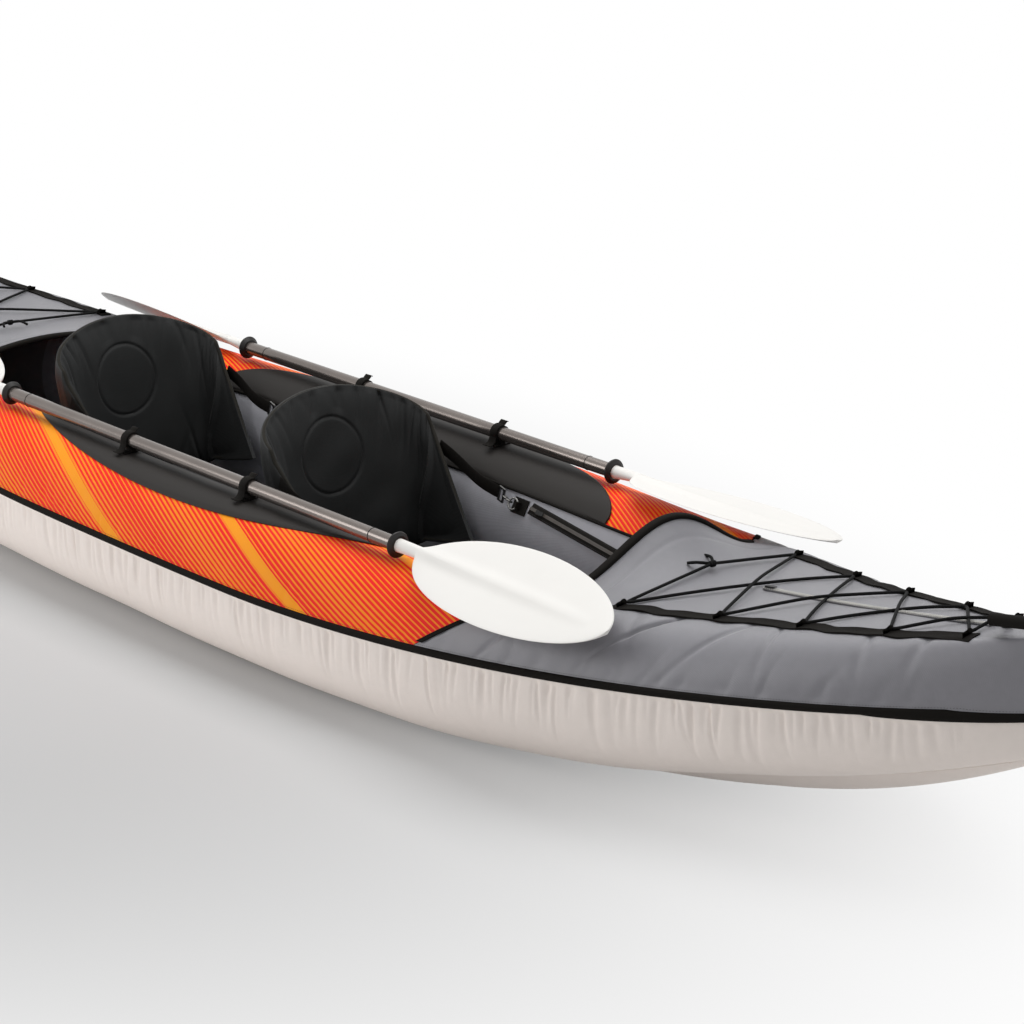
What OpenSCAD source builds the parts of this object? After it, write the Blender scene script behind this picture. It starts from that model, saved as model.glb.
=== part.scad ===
// Two-person inflatable kayak with a fabric cover, two seats and two stowed paddles.
// +X points to the bow, +Y to port, +Z up. The origin is on the ground under the middle of the hull.

/* [Hull] */
// Length of the hull from stem to stern
hull_len = 4300; // [4000:10:4600]
// Width of the hull at its middle
beam = 900; // [870:5:930]
// Height of a side tube at the middle of the hull
tube_h = 318; // [305:1:330]
// Width of a side tube
tube_w = 246; // [235:1:252]
// How far the tubes stay above the flat bottom
tube_lift = 6; // [4:1:10]
// How far the gunwale rises towards the ends
sheer = 157; // [130:1:180]
// How far the bottom of the tubes rises towards the ends
tube_rise = 262; // [230:1:280]
// How far the keel line rises towards the ends
keel_rise = 262; // [220:1:266]
// Half the width of the blunt stem
stem_half = 16; // [14:1:24]
// Thickness of the cover fabric
skin_t = 2; // [1:0.5:2.5]
// Thickness of the inflatable floor mat
mat_t = 85; // [60:1:100]

/* [Seams and trims] */
// Height of the piping at the middle of the hull
piping_h = 184; // [172:1:196]
// How far the piping rises towards the ends
piping_rise = 160; // [140:1:175]
// Width of the piping
piping_w = 14; // [8:1:18]
// How far the piping stands proud of the cover
piping_proud = 5.5; // [4:0.5:7]
// Width of the trims between side covers and decks
trim_w = 16; // [10:1:24]
// How far the ends of the side covers lean
trim_slant = 222; // [150:1:260]
// Thickness of trims, patches, webbing and zip tapes
tape_t = 1.5; // [1:0.1:2]
// Angle round the tube of the seam between side cover and inner wall
wall_seam = 135; // [125:1:145]
// Back end of the gunwale patches
patch_back = -585; // [-620:5:-420]
// Front end of the gunwale patches
patch_front = 775; // [700:5:800]

/* [Decks] */
// Distance of the bow deck's edge from the middle, at the gunwale
bow_edge = 1170; // [1120:5:1220]
// Distance of the stern deck's edge from the middle, at the gunwale
stern_edge = 950; // [930:5:1050]
// How far a deck's edge is set back at the centre line
edge_dip = 30; // [0:1:60]
// Height of the arch in the bow deck's edge
bow_arch = 97; // [60:1:120]
// Height of the arch in the stern deck's edge
stern_arch = 14; // [5:1:60]
// Length over which an arch fades into its deck
arch_len = 180; // [140:5:240]
// Crown of a deck between its gunwales
deck_crown = 8; // [4:1:14]
// Diameter of the binding on a deck's edge
binding_d = 12; // [8:1:13]
// Width of the deck webbing
web_w = 28; // [20:1:34]
// Diameter of the bungee cord
cord_d = 5; // [4:0.5:6]
// Width of a deck or wall zip with its tapes
zip_w = 26; // [20:1:32]
// Length of a zip slider
slider_len = 16; // [12:1:20]

/* [Carry handles] */
// Distance from the middle of a carry handle to the end of the hull
handle_in = 78; // [74:1:90]
// Distance between the two pivots of a carry handle
handle_span = 96; // [88:1:104]
// Reach of a carry handle from its pivots to its grip
handle_reach = 45; // [38:1:55]
// Diameter of a carry handle's grip
grip_d = 22; // [16:1:26]
// Diameter of a carry handle's pivot pins
handle_pin_d = 6; // [5:0.5:8]
// Lean of a carry handle towards starboard as it lies
handle_lean = 70; // [50:1:75]

/* [Seats] */
// Place of the front backrest along the hull
front_seat_x = 169; // [130:1:200]
// Place of the rear backrest along the hull
rear_seat_x = -612; // [-640:1:-580]
// Gap between a seat's side and the inner wall
seat_gap = 5; // [3:1:15]
// Thickness of a backrest
back_t = 34; // [24:1:40]
// Height of a backrest's top above the ground
back_top = 458; // [430:1:500]
// How far a backrest's top drops towards its wings
wing_drop = 98; // [80:1:130]
// Length of a backrest's wings along their lower edge
wing_len = 256; // [240:1:270]
// How much shorter the wings are along their upper edge
wing_rake = 150; // [130:1:155]
// Radius of the round stitched panel on a backrest
back_round = 80; // [60:1:95]
// Lean of a backrest
back_lean = 9; // [4:1:12]
// Widening of a backrest from its foot to its top, to each side
back_flare = 38; // [20:1:42]
// Length of a seat pad
pad_len = 385; // [340:5:400]
// Thickness of a seat pad at its crown
pad_t = 60; // [40:1:70]
// Width of the seat straps
strap_w = 25; // [20:1:32]
// Thickness of the seat straps
strap_t = 2; // [1.5:0.5:3]
// Distance from the front backrest to its strap rings
front_ring_dx = 340; // [320:5:370]
// Distance from the rear backrest to its strap rings
rear_ring_dx = 300; // [290:5:330]
// Angle round the tube at which the strap rings sit
ring_angle = 146; // [142:1:152]

/* [Paddles] */
// Diameter of a paddle's shaft
shaft_d = 29; // [27:0.5:31]
// Wall of the shaft tube
shaft_wall = 1.5; // [1:0.1:2]
// Length of the port shaft between its end joints
port_shaft_len = 1126; // [1080:2:1180]
// Length of the starboard shaft between its end joints
starboard_shaft_len = 1232; // [1180:2:1280]
// Middle of the port paddle along the hull
port_paddle_x = 48; // [20:1:70]
// Middle of the starboard paddle along the hull
starboard_paddle_x = 90; // [60:1:110]
// Length of an end stub between joint and blade
stub_len = 82; // [76:1:100]
// Length of the ferrule inside an end stub
ferrule_len = 45; // [40:1:48]
// Length of a blade
blade_len = 612; // [560:1:640]
// Width of a blade
blade_w = 216; // [190:1:225]
// Rise of a blade towards its tip
blade_rise = 6; // [2:1:20]
// Sweep of a blade's tip to the outside
blade_sweep = 17; // [0:1:25]
// Turn of the port paddle's front blade about the shaft
port_turn = -10; // [-14:1:-6]
// Turn of the port paddle's rear blade about the shaft
port_rear_turn = -31; // [-34:1:-24]
// Turn of the starboard paddle's blades about the shaft
starboard_turn = 23; // [18:1:32]
// Diameter of a drip ring
ring_d = 52; // [46:1:54]
// Width of a drip ring
ring_w = 14; // [10:1:16]
// Height of the shafts above the gunwale
shaft_lift = 15.5; // [14:0.5:20]
// Offset of the shafts from the crest of the tubes, inwards
shaft_inset = 13; // [8:1:18]
// Width of a paddle strap
hold_w = 22; // [18:1:28]
// Place of the back strap of the port paddle
port_hold_back = -147; // [-170:1:-110]
// Place of the front strap of the port paddle
port_hold_front = 324; // [290:1:350]
// Place of the back strap of the starboard paddle
starboard_hold_back = -129; // [-160:1:-100]
// Place of the front strap of the starboard paddle
starboard_hold_front = 299; // [270:1:330]

/* [Valves] */
// Radius of a valve's neck
valve_r = 18; // [15:0.5:20]
// Radius of a valve cap
cap_r = 22; // [21:0.5:25]
// Place of the side valves along the hull
valve_x = -830; // [-850:5:-800]
// Place of the floor valve along the hull
floor_valve_x = -900; // [-930:5:-880]

/* [Hidden] */
PORT = 1;
STARBOARD = -1;
BOW = 1;
STERN = -1;
SIDES = [STARBOARD, PORT];
ENDS = [BOW, STERN];

// Named clearances
fit = 0.05;
near = 0.4;
lay = 0.9;
patch_lay = 2.8;
wall_lay = 2;
seam_gap = 1.6;
strap_gap = 1.3;
inset = 5;

// Hull lines, as functions of the place along the hull
half_len = hull_len / 2;
half_stations = 16;
plan_fullness = 2.6;
plan_power = 0.85;
low_fullness = 2.5;
sheer_start = 600;
rise_start = 500;
keel_start = 700;
piping_start = 400;
tube_share = 0.45;

function lerp(a, b, t) = a + (b - a) * t;
function unit(v) = v / norm(v);
function flat(rows) = [for (row = rows) for (p = row) p];
function toward_end(x, start) = max(0, (abs(x) - start) / (half_len - start));
function station(i) = half_len * sin(90 * i / half_stations);
function half_beam(x) =
    stem_half
    + (beam / 2 - stem_half) * pow(max(0, 1 - pow(abs(x) / half_len, plan_fullness)), plan_power);
function crest_z(x) = tube_h + sheer * pow(toward_end(x, sheer_start), 2.2);
function low_z(x) = tube_lift + tube_rise * pow(toward_end(x, rise_start), 2.5);
function keel_z(x) = keel_rise * pow(toward_end(x, keel_start), 3.1);
function piping_z(x) = piping_h + piping_rise * pow(toward_end(x, piping_start), 1.75);
function tube_half(x) = min(tube_w / 2, tube_share * half_beam(x));
function crest_y(x) = half_beam(x) - tube_half(x);
function inner_half(x) = crest_y(x) - tube_half(x);
function mid_z(x) = (crest_z(x) + low_z(x)) / 2;
function half_height(x) = (crest_z(x) - low_z(x)) / 2;
function round_to(c, fullness) = sign(c) * pow(abs(c), 2 / fullness);
function fullness_at(a) = a > -90 && a < 0 ? low_fullness : 2;

// Point on a side tube: angle 0 faces out, 90 up, 180 in; out is the distance outside the cover
function tube_point(x, a, out, side) =
    let (full = fullness_at(a))
    [
        x,
        side * (crest_y(x) + (tube_half(x) + out) * round_to(cos(a), full)),
        mid_z(x) + (half_height(x) + out) * round_to(sin(a), full)
    ];
function angle_at(x, z) = asin(max(-1, min(1, (z - mid_z(x)) / half_height(x))));
function piping_low(x) = angle_at(x, piping_z(x) - piping_w / 2 - near);
function piping_high(x) = angle_at(x, piping_z(x) + piping_w / 2 + seam_gap);
function wall_normal(x, a) = atan2(sin(a) / half_height(x), cos(a) / tube_half(x));

// Deck lines
function deck_edge(end) = end == BOW ? bow_edge : stern_edge;
function deck_arch(end) = end == BOW ? bow_arch : stern_arch;
function edge_x(end, q) = deck_edge(end) + edge_dip * (1 - q * q);
function deck_z(end, x, y) =
    let (q = y / crest_y(x))
    let (bell = 0.5 + 0.5 * cos(180 * q))
    let (fade = pow(max(0, 1 - (abs(x) - edge_x(end, q)) / arch_len), 2))
    crest_z(x)
    + deck_crown * min(1, crest_y(x) / 100) * (1 - q * q)
    + deck_arch(end) * bell * min(1, fade);
function trim_x(end, t) = deck_edge(end) - trim_w / 2 - trim_slant * pow(1 - t, 1.4);

// Closed solid between an outer and an inner grid of points
module panel(outer, inner, out = true) {
    rows = len(outer);
    cols = len(outer[0]);
    n = rows * cols;
    quads = concat(
        [for (i = [0 : rows - 2], j = [0 : cols - 2])
            [i * cols + j, i * cols + j + 1, (i + 1) * cols + j + 1, (i + 1) * cols + j]],
        [for (i = [0 : rows - 2], j = [0 : cols - 2])
            [n + i * cols + j, n + (i + 1) * cols + j, n + (i + 1) * cols + j + 1, n + i * cols + j + 1]],
        [for (i = [0 : rows - 2]) [i * cols, (i + 1) * cols, n + (i + 1) * cols, n + i * cols]],
        [for (i = [0 : rows - 2], k = [cols - 1])
            [(i + 1) * cols + k, i * cols + k, n + i * cols + k, n + (i + 1) * cols + k]],
        [for (j = [0 : cols - 2]) [j + 1, j, n + j, n + j + 1]],
        [for (j = [0 : cols - 2], k = [(rows - 1) * cols]) [k + j, k + j + 1, n + k + j + 1, n + k + j]]
    );
    polyhedron(concat(flat(outer), flat(inner)), split_quads(quads, out));
}

// Closed solid through a row of rings, each a closed outline of as many points
module loft(rings, out = true) {
    rows = len(rings);
    m = len(rings[0]);
    quads = [for (i = [0 : rows - 2], j = [0 : m - 1])
        [i * m + j, i * m + (j + 1) % m, (i + 1) * m + (j + 1) % m, (i + 1) * m + j]];
    first = [for (j = [1 : m - 2]) [0, j + 1, j]];
    last = [for (j = [1 : m - 2], k = [(rows - 1) * m]) [k, k + j, k + j + 1]];
    caps = [for (t = concat(first, last)) out ? t : [t[0], t[2], t[1]]];
    polyhedron(flat(rings), concat(split_quads(quads, out), caps));
}

function split_quads(quads, out) =
    [for (q = quads) each out
        ? [[q[0], q[1], q[2]], [q[0], q[2], q[3]]]
        : [[q[0], q[2], q[1]], [q[0], q[3], q[2]]]];

// Round rod along a path
function rod_ring(path, i, r, sides) =
    let (before = path[max(0, i - 1)])
    let (after = path[min(len(path) - 1, i + 1)])
    let (along = unit(after - before))
    let (across = unit(cross(along, [0, 0, 1])))
    let (up = cross(across, along))
    [for (k = [0 : sides - 1]) path[i] + r * (cos(360 * k / sides) * across + sin(360 * k / sides) * up)];
module rod(path, r, sides = 8) {
    loft([for (i = [0 : len(path) - 1]) rod_ring(path, i, r, sides)]);
}

// Places children on a tube with +X along it and +Z out of its cover
function tube_yaw(x, a, side) =
    let (d = tube_point(x + 1, a, 0, side) - tube_point(x - 1, a, 0, side))
    atan2(d[1], d[0]);
function tube_turn(x, a, side) = side == PORT ? wall_normal(x, a) - 90 : 90 - wall_normal(x, a);
function tube_along(x, a, side) = [cos(tube_yaw(x, a, side)), sin(tube_yaw(x, a, side)), 0];
function tube_out(x, a, side) =
    let (yaw = tube_yaw(x, a, side))
    let (turn = tube_turn(x, a, side))
    [sin(yaw) * sin(turn), -cos(yaw) * sin(turn), cos(turn)];
module on_tube(x, a, side) {
    translate(tube_point(x, a, 0, side))
        rotate([tube_turn(x, a, side), 0, tube_yaw(x, a, side)])
            children();
}

// Cover panels
bottom_share = [-1, -0.8, -0.6, 0.6, 0.8, 1];
bottom_flat = 0.6;
bottom_reach = 0.985;
function bottom_z(x, q) =
    let (lift = max(0, (abs(q) - bottom_flat) / (1 - bottom_flat)))
    lerp(keel_z(x), low_z(x), lift * lift);
function bottom_row(i, up) =
    let (x = station(i))
    [for (q = bottom_share) [x, q * bottom_reach * crest_y(x), bottom_z(x, q) + up]];
module bottom_panel() {
    rows = [-half_stations : half_stations];
    color("gainsboro")
        panel([for (i = rows) bottom_row(i, skin_t)], [for (i = rows) bottom_row(i, 0)]);
}

chine_steps = 5;
chine_start = -90;
function chine_angle(x, k) = lerp(chine_start, piping_low(x), k / chine_steps);
function chine_row(i, out, side) =
    let (x = station(i))
    [for (k = [0 : chine_steps]) tube_point(x, chine_angle(x, k), out, side)];
module chine_panel(side) {
    rows = [-half_stations : half_stations];
    color("gainsboro")
        panel(
            [for (i = rows) chine_row(i, 0, side)],
            [for (i = rows) chine_row(i, -skin_t, side)],
            side == STARBOARD
        );
}

side_steps = 8;
side_rows = 9;
shoulder = 90;
seam_half = 0.3;
cover_gap = 1;
function side_angle(x, t) =
    lerp(piping_high(x), wall_seam - seam_half, t);
function side_end(end, t) =
    let (rise = t * (wall_seam - seam_half) / shoulder)
    rise <= 1 ? trim_x(end, rise) - cover_gap : deck_edge(end) - binding_d - 10;
function side_row(u, out, side) =
    [for (k = [0 : side_steps])
        let (t = k / side_steps)
        let (x = u >= 0 ? u * side_end(BOW, t) : u * side_end(STERN, t))
        tube_point(x, side_angle(x, t), out, side)];
module side_cover(side) {
    rows = [for (i = [-side_rows : side_rows]) i / side_rows];
    color("orangered")
        panel(
            [for (u = rows) side_row(u, 0, side)],
            [for (u = rows) side_row(u, -skin_t, side)],
            side == STARBOARD
        );
}

wall_steps = 6;
wall_foot = 212;
function wall_reach(end) =
    ceil(half_stations * asin((deck_edge(end) + edge_dip + binding_d) / half_len) / 90);
function wall_angle(k) = lerp(wall_seam + seam_half, wall_foot, k / wall_steps);
function wall_row(i, out, side) = [for (k = [0 : wall_steps]) tube_point(station(i), wall_angle(k), out, side)];
module inner_wall(side) {
    rows = [-wall_reach(STERN) : wall_reach(BOW)];
    color("dimgray")
        panel(
            [for (i = rows) wall_row(i, 0, side)],
            [for (i = rows) wall_row(i, -skin_t, side)],
            side == STARBOARD
        );
}

deck_side_steps = 4;
deck_rows = 14;
deck_share = [-1, -0.8, -0.6, -0.4, -0.2, 0, 0.2, 0.4, 0.6, 0.8, 1];
function deck_along(start, u) = lerp(start, half_len, (1 - cos(180 * u)) / 2);
function deck_side_point(end, side, t, u, out) =
    let (x = end * deck_along(trim_x(end, t) + cover_gap, u))
    tube_point(x, lerp(piping_high(x), shoulder, t), out, side);
function deck_start(end, q) = abs(q) == 1 ? trim_x(end, 1) + cover_gap : edge_x(end, q);
function deck_top_point(end, q, u, out) =
    let (x = end * deck_along(deck_start(end, q), u))
    [x, q * crest_y(x), deck_z(end, x, q * crest_y(x)) + out];
function deck_row(end, u, out) = concat(
    [for (k = [0 : deck_side_steps - 1]) deck_side_point(end, STARBOARD, k / deck_side_steps, u, out)],
    [for (q = deck_share) deck_top_point(end, q, u, out)],
    [for (k = [deck_side_steps - 1 : -1 : 0]) deck_side_point(end, PORT, k / deck_side_steps, u, out)]
);
module deck(end) {
    rows = [for (i = [0 : deck_rows]) i / deck_rows];
    color("slategray")
        panel(
            [for (u = rows) deck_row(end, u, 0)],
            [for (u = rows) deck_row(end, u, -skin_t)],
            end == BOW
        );
}

// Air chambers
bladder_stations = 13;
bladder_steps = 6;
function bladder_ring(i, side) =
    let (x = station(i))
    let (low = piping_low(x))
    concat(
        [for (k = [0 : chine_steps - 1]) tube_point(x, chine_angle(x, k), -skin_t - near, side)],
        [for (k = [0 : bladder_steps - 1])
            tube_point(x, lerp(low, wall_angle(0), k / bladder_steps), -skin_t - inset, side)],
        [for (k = [0 : wall_steps]) tube_point(x, wall_angle(k), -skin_t - (k == 0 ? inset / 2 : near), side)],
        [tube_point(x, (wall_foot + 360 + chine_start) / 2, -skin_t - near, side)]
    );
module side_bladder(side) {
    color("whitesmoke")
        loft([for (i = [-bladder_stations : bladder_stations]) bladder_ring(i, side)], side == STARBOARD);
}

mat_stations = 6;
mat_sides = 16;
mat_edge = 5;
mat_fullness = 7;
function mat_low(x) = keel_z(x) + skin_t + near;
function mat_top(x) = mat_low(x) + mat_t;
function mat_ring(i) =
    let (x = station(i))
    [for (k = [0 : mat_sides - 1])
        let (a = 360 * (k + 0.5) / mat_sides)
        [
            x,
            -(inner_half(x) - mat_edge) * round_to(cos(a), mat_fullness),
            mat_low(x) + mat_t / 2 + mat_t / 2 * round_to(sin(a), mat_fullness)
        ]];
module floor_mat() {
    color("dimgray")
        loft([for (i = [-mat_stations : mat_stations]) mat_ring(i)]);
}

// Seams, trims and patches
piping_root = 1.5;
function piping_ring(i, side) =
    let (x = station(i))
    let (z = piping_z(x))
    let (w = piping_w / 2)
    let (root = piping_root)
    [for (p = [[-w, -root], [-w, root], [-0.65 * w, 0.8 * piping_proud], [0, piping_proud],
               [0.65 * w, 0.8 * piping_proud], [w, root], [w, -root]])
        tube_point(x, angle_at(x, z + p[0]), p[1], side)];
module hull_piping() {
    rows = [-half_stations : half_stations];
    color("black")
        for (side = SIDES)
            loft([for (i = rows) piping_ring(i, side)], side == STARBOARD);
}

// A binding runs beside the edge of its deck and stops short of the deck's corners
binding_reach = 0.75;
binding_gap = 2 * near;
function beside_deck(end, q) =
    deck_top_point(end, q, 0, -skin_t / 2) - [end * (binding_d / 2 + binding_gap), 0, 0];
function binding_path(end) =
    let (last = len(deck_share) - 1)
    concat(
        [lerp(beside_deck(end, deck_share[1]), beside_deck(end, deck_share[0]), binding_reach)],
        [for (k = [1 : last - 1]) beside_deck(end, deck_share[k])],
        [lerp(beside_deck(end, deck_share[last - 1]), beside_deck(end, deck_share[last]), binding_reach)]
    );
module deck_bindings() {
    color("black")
        for (end = ENDS)
            rod(binding_path(end), binding_d / 2);
}

trim_steps = 6;
trim_start = 0.06;
function trim_row(end, t, out, side) =
    let (middle = end * trim_x(end, t))
    [for (w = [-trim_w / 2, 0, trim_w / 2])
        tube_point(middle + w, lerp(piping_high(middle), shoulder, t), out, side)];
module panel_trims() {
    rows = [for (k = [0 : trim_steps]) lerp(trim_start, 0.94, k / trim_steps)];
    color("black")
        for (end = ENDS, side = SIDES)
            panel(
                [for (t = rows) trim_row(end, t, lay + tape_t, side)],
                [for (t = rows) trim_row(end, t, lay, side)],
                side == PORT
            );
}

patch_rows = 16;
patch_steps = 5;
patch_low = 60;
patch_gap = 3;
function patch_row(u, out, side) =
    let (x = lerp(patch_back, patch_front, u))
    let (swell = pow(max(0, 1 - pow(2 * u - 1, 2)), 0.6))
    let (high = wall_seam - patch_gap)
    let (low = lerp(high - 6, patch_low, swell))
    [for (k = [0 : patch_steps]) tube_point(x, lerp(low, high, k / patch_steps), out, side)];
module gunwale_patch(side) {
    rows = [for (i = [0 : patch_rows]) (1 - cos(180 * i / patch_rows)) / 2];
    color("black")
        panel(
            [for (u = rows) patch_row(u, patch_lay + tape_t, side)],
            [for (u = rows) patch_row(u, patch_lay, side)],
            side == STARBOARD
        );
}

// Deck lacing
lace_share = [0.147, 0.35, 0.52, 0.694, 0.842];
lace_last = len(lace_share) - 1;
function lace_x(end, i) = deck_edge(end) + lace_share[i] * (half_len - deck_edge(end));
web_end = 15;
web_rows = 10;
function web_point(end, side, x, w, out) =
    let (y = crest_y(x) + w)
    w > 0
        ? [end * x, side * y, mid_z(x) + (half_height(x) + out) * sqrt(1 - pow(w / tube_half(x), 2))]
        : [end * x, side * y, deck_z(end, x, y) + out];
function web_row(end, side, u, out) =
    let (x = lerp(lace_x(end, 0) - web_end, lace_x(end, lace_last) + web_end, u))
    let (w = min(web_w / 2, 0.7 * tube_half(x)))
    [for (q = [-1, 0, 0.5, 1]) web_point(end, side, x, q * w, out)];
module deck_webbings() {
    rows = [for (i = [0 : web_rows]) i / web_rows];
    color("black")
        for (end = ENDS, side = SIDES)
            panel(
                [for (u = rows) web_row(end, side, u, lay + tape_t)],
                [for (u = rows) web_row(end, side, u, lay)],
                end * side == PORT * STERN
            );
}

cord_lift = lay + tape_t + 2 * near + cord_d / 2;
cord_turn = 14;
cord_bow = 3.5;
function anchor(end, i, side) =
    let (x = lace_x(end, i))
    let (y = crest_y(x) - cord_d)
    [end * x, side * y, deck_z(end, x, y) + cord_lift];
function over_deck(end, a, b, lift) =
    let (m = (a + b) / 2)
    [m[0], m[1], max(m[2], deck_z(end, abs(m[0]), m[1]) + cord_lift) + lift];
function turn_points(before, at, after) =
    let (d1 = unit(before - at))
    let (d2 = unit(after - at))
    [at + cord_turn * d1, at + cord_bow * (d1 + d2), at + cord_turn * d2];
function lace_route(end) =
    let (out_leg = [for (i = [0 : lace_last]) anchor(end, i, i % 2 == 0 ? STARBOARD : PORT)])
    let (back_leg = [for (i = [lace_last : -1 : 0]) anchor(end, i, i % 2 == 0 ? PORT : STARBOARD)])
    let (corners = concat(out_leg, back_leg))
    let (last = len(corners) - 1)
    let (middles = [for (i = [0 : last])
        let (lift = i < lace_last ? 0 : i == last ? knot_r : cord_d + 2 * near)
        over_deck(end, corners[i], corners[(i + 1) % len(corners)], lift)])
    let (knot = middles[last])
    concat(
        [knot - [0, cord_d, 0]],
        [for (i = [0 : last])
            let (before = i == 0 ? knot : middles[i - 1])
            let (leave = over_deck(end, corners[i], middles[i], near))
            each concat(
                [over_deck(end, before, corners[i], near)],
                turn_points(before, corners[i], middles[i]),
                [leave],
                i == last ? [] : [middles[i]]
            )],
        [knot + [0, cord_d, 0]]
    );
knot_r = 7;
module bungee(end) {
    route = lace_route(end);
    color("black") {
        rod(route, cord_d / 2);
        translate((route[0] + route[len(route) - 1]) / 2)
            sphere(r = knot_r, $fn = 24);
    }
}

// Zips and their sliders
zip_from = 0.29;
zip_to = 0.84;
zip_rows = 10;
function zip_row(end, u, out) =
    let (x = lerp(deck_edge(end), half_len, lerp(zip_from, zip_to, u)))
    [for (q = [-1, 0, 1])
        let (y = q * min(zip_w / 2, 0.8 * crest_y(x)))
        [end * x, y, deck_z(end, x, y) + out]];
module deck_zips() {
    rows = [for (i = [0 : zip_rows]) i / zip_rows];
    color("black")
        for (end = ENDS)
            panel(
                [for (u = rows) zip_row(end, u, lay + tape_t)],
                [for (u = rows) zip_row(end, u, lay)],
                end == BOW
            );
}

slider_w = 9;
slider_h = 5;
tab_len = 24;
tab_w = 8;
tab_t = 1.6;
slider_share = 0.3;
slider_travel = 60;
module slider_shape() {
    translate([-slider_len / 2, -slider_w / 2, 0])
        cube([slider_len, slider_w, slider_h - tab_t]);
    translate([-slider_len / 2, -tab_w / 2, slider_h - tab_t])
        cube([tab_len, tab_w, tab_t]);
}
module deck_slider(end) {
    x = lerp(deck_edge(end), half_len, slider_share);
    slope = atan2(deck_z(end, x + slider_travel, 0) - deck_z(end, x, 0), slider_travel);
    color("dimgray")
        translate([end * x, 0, deck_z(end, x, 0) + lay + tape_t + lay])
            rotate([0, -slope, end == BOW ? 0 : 180])
                slider_shape();
}

ring_patch = [46, 34];
wall_zip_gap = 12;
wall_zip_back = front_seat_x + front_ring_dx + ring_patch[0] / 2 + wall_zip_gap;
wall_zip_steps = 8;
wall_zip_high = 9;
wall_zip_fall = 18;
wall_zip_short = 60;
function wall_zip_x(u) = lerp(wall_zip_back, bow_edge - wall_zip_short, u);
function wall_zip_angle(u) = wall_seam + seam_half + wall_zip_high + wall_zip_fall * u;
function wall_zip_row(u, out, side) =
    let (x = wall_zip_x(u))
    let (spread = zip_w / 2 / half_height(x) * 180 / PI)
    [for (q = [-1, 0, 1]) tube_point(x, wall_zip_angle(u) + q * spread, out, side)];
module wall_zips() {
    rows = [for (i = [0 : wall_zip_steps]) i / wall_zip_steps];
    color("black")
        for (side = SIDES)
            panel(
                [for (u = rows) wall_zip_row(u, wall_lay + tape_t, side)],
                [for (u = rows) wall_zip_row(u, wall_lay, side)],
                side == STARBOARD
            );
}
wall_slider_share = 0.06;
module wall_slider(side) {
    lift = wall_lay + tape_t + lay;
    color("dimgray")
        on_tube(wall_zip_x(wall_slider_share), wall_zip_angle(wall_slider_share), side)
            translate([0, 0, lift])
                slider_shape();
}

// Paddle straps
shaft_y = crest_y(0) - shaft_inset;
shaft_z = tube_h + shaft_lift + shaft_d / 2;
hold_t = 2.5;
hold_foot = 46;
hold_neck = 12;
module hold_outline(foot_z) {
    loop_r = shaft_d / 2 + near;
    difference() {
        union() {
            translate([0, shaft_z])
                circle(r = loop_r + hold_t, $fn = 48);
            translate([-hold_neck / 2, foot_z])
                square([hold_neck, shaft_z - foot_z]);
            translate([-hold_foot / 2, foot_z])
                square([hold_foot, hold_t]);
        }
        translate([0, shaft_z])
            circle(r = loop_r, $fn = 48);
    }
}
function hold_places(side) =
    side == PORT ? [port_hold_back, port_hold_front] : [starboard_hold_back, starboard_hold_front];
module paddle_straps() {
    color("black")
        for (side = SIDES, x = hold_places(side))
            translate([x - hold_w / 2, side * shaft_y, 0])
                rotate([90, 0, 90])
                    linear_extrude(hold_w)
                        hold_outline(tube_h + patch_lay + tape_t + near);
}

// Carry handles
handle_axis_z = 8;
lug_w = 12;
lug_r = handle_pin_d / 2 + 3.5;
arm_t = 4;
arm_w = 12;
function handle_x() = half_len - handle_in;
function handle_slope(end) =
    let (a = handle_x() - handle_span / 2)
    let (b = handle_x() + handle_span / 2)
    atan2(deck_z(end, b, 0) - deck_z(end, a, 0), handle_span);
module at_handle(end) {
    a = deck_z(end, handle_x() - handle_span / 2, 0);
    b = deck_z(end, handle_x() + handle_span / 2, 0);
    translate([end * handle_x(), 0, (a + b) / 2 + lay])
        rotate([0, -end * handle_slope(end), 0])
            children();
}
module handle_anchors() {
    color("black")
        for (end = ENDS)
            at_handle(end)
                for (k = [-1, 1])
                    translate([k * handle_span / 2, 0, 0])
                        difference() {
                            union() {
                                translate([-lug_w / 2, -lug_r, 0])
                                    cube([lug_w, 2 * lug_r, handle_axis_z]);
                                translate([-lug_w / 2, 0, handle_axis_z])
                                    rotate([0, 90, 0])
                                        cylinder(r = lug_r, h = lug_w, $fn = 48);
                            }
                            translate([-lug_w, 0, handle_axis_z])
                                rotate([0, 90, 0])
                                    cylinder(d = handle_pin_d + 2 * fit, h = 2 * lug_w, $fn = 48);
                        }
}
module handle(end) {
    inner = handle_span / 2 - lug_w / 2 - 2;
    color("black")
        at_handle(end)
            translate([0, 0, handle_axis_z])
                rotate([handle_lean, 0, 0]) {
                    for (k = [0, 1])
                        mirror([k, 0, 0]) {
                            translate([inner - arm_t, -arm_w / 2, -arm_w / 4])
                                cube([arm_t, arm_w, handle_reach + arm_w / 4]);
                            translate([inner - arm_t, 0, 0])
                                rotate([0, 90, 0])
                                    cylinder(d = handle_pin_d, h = arm_t + lug_w + 4, $fn = 48);
                        }
                    translate([-inner, 0, handle_reach])
                        rotate([0, 90, 0])
                            cylinder(d = grip_d, h = 2 * inner, $fn = 48);
                }
}

// Seat rings, hooks and straps
ring_rod = 2.2;
seat_ring_r = 12;
hook_ring_r = 6.5;
SEATS = [front_seat_x, rear_seat_x];
function ring_x(seat_x) = seat_x == front_seat_x ? seat_x + front_ring_dx : seat_x + rear_ring_dx;

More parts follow.
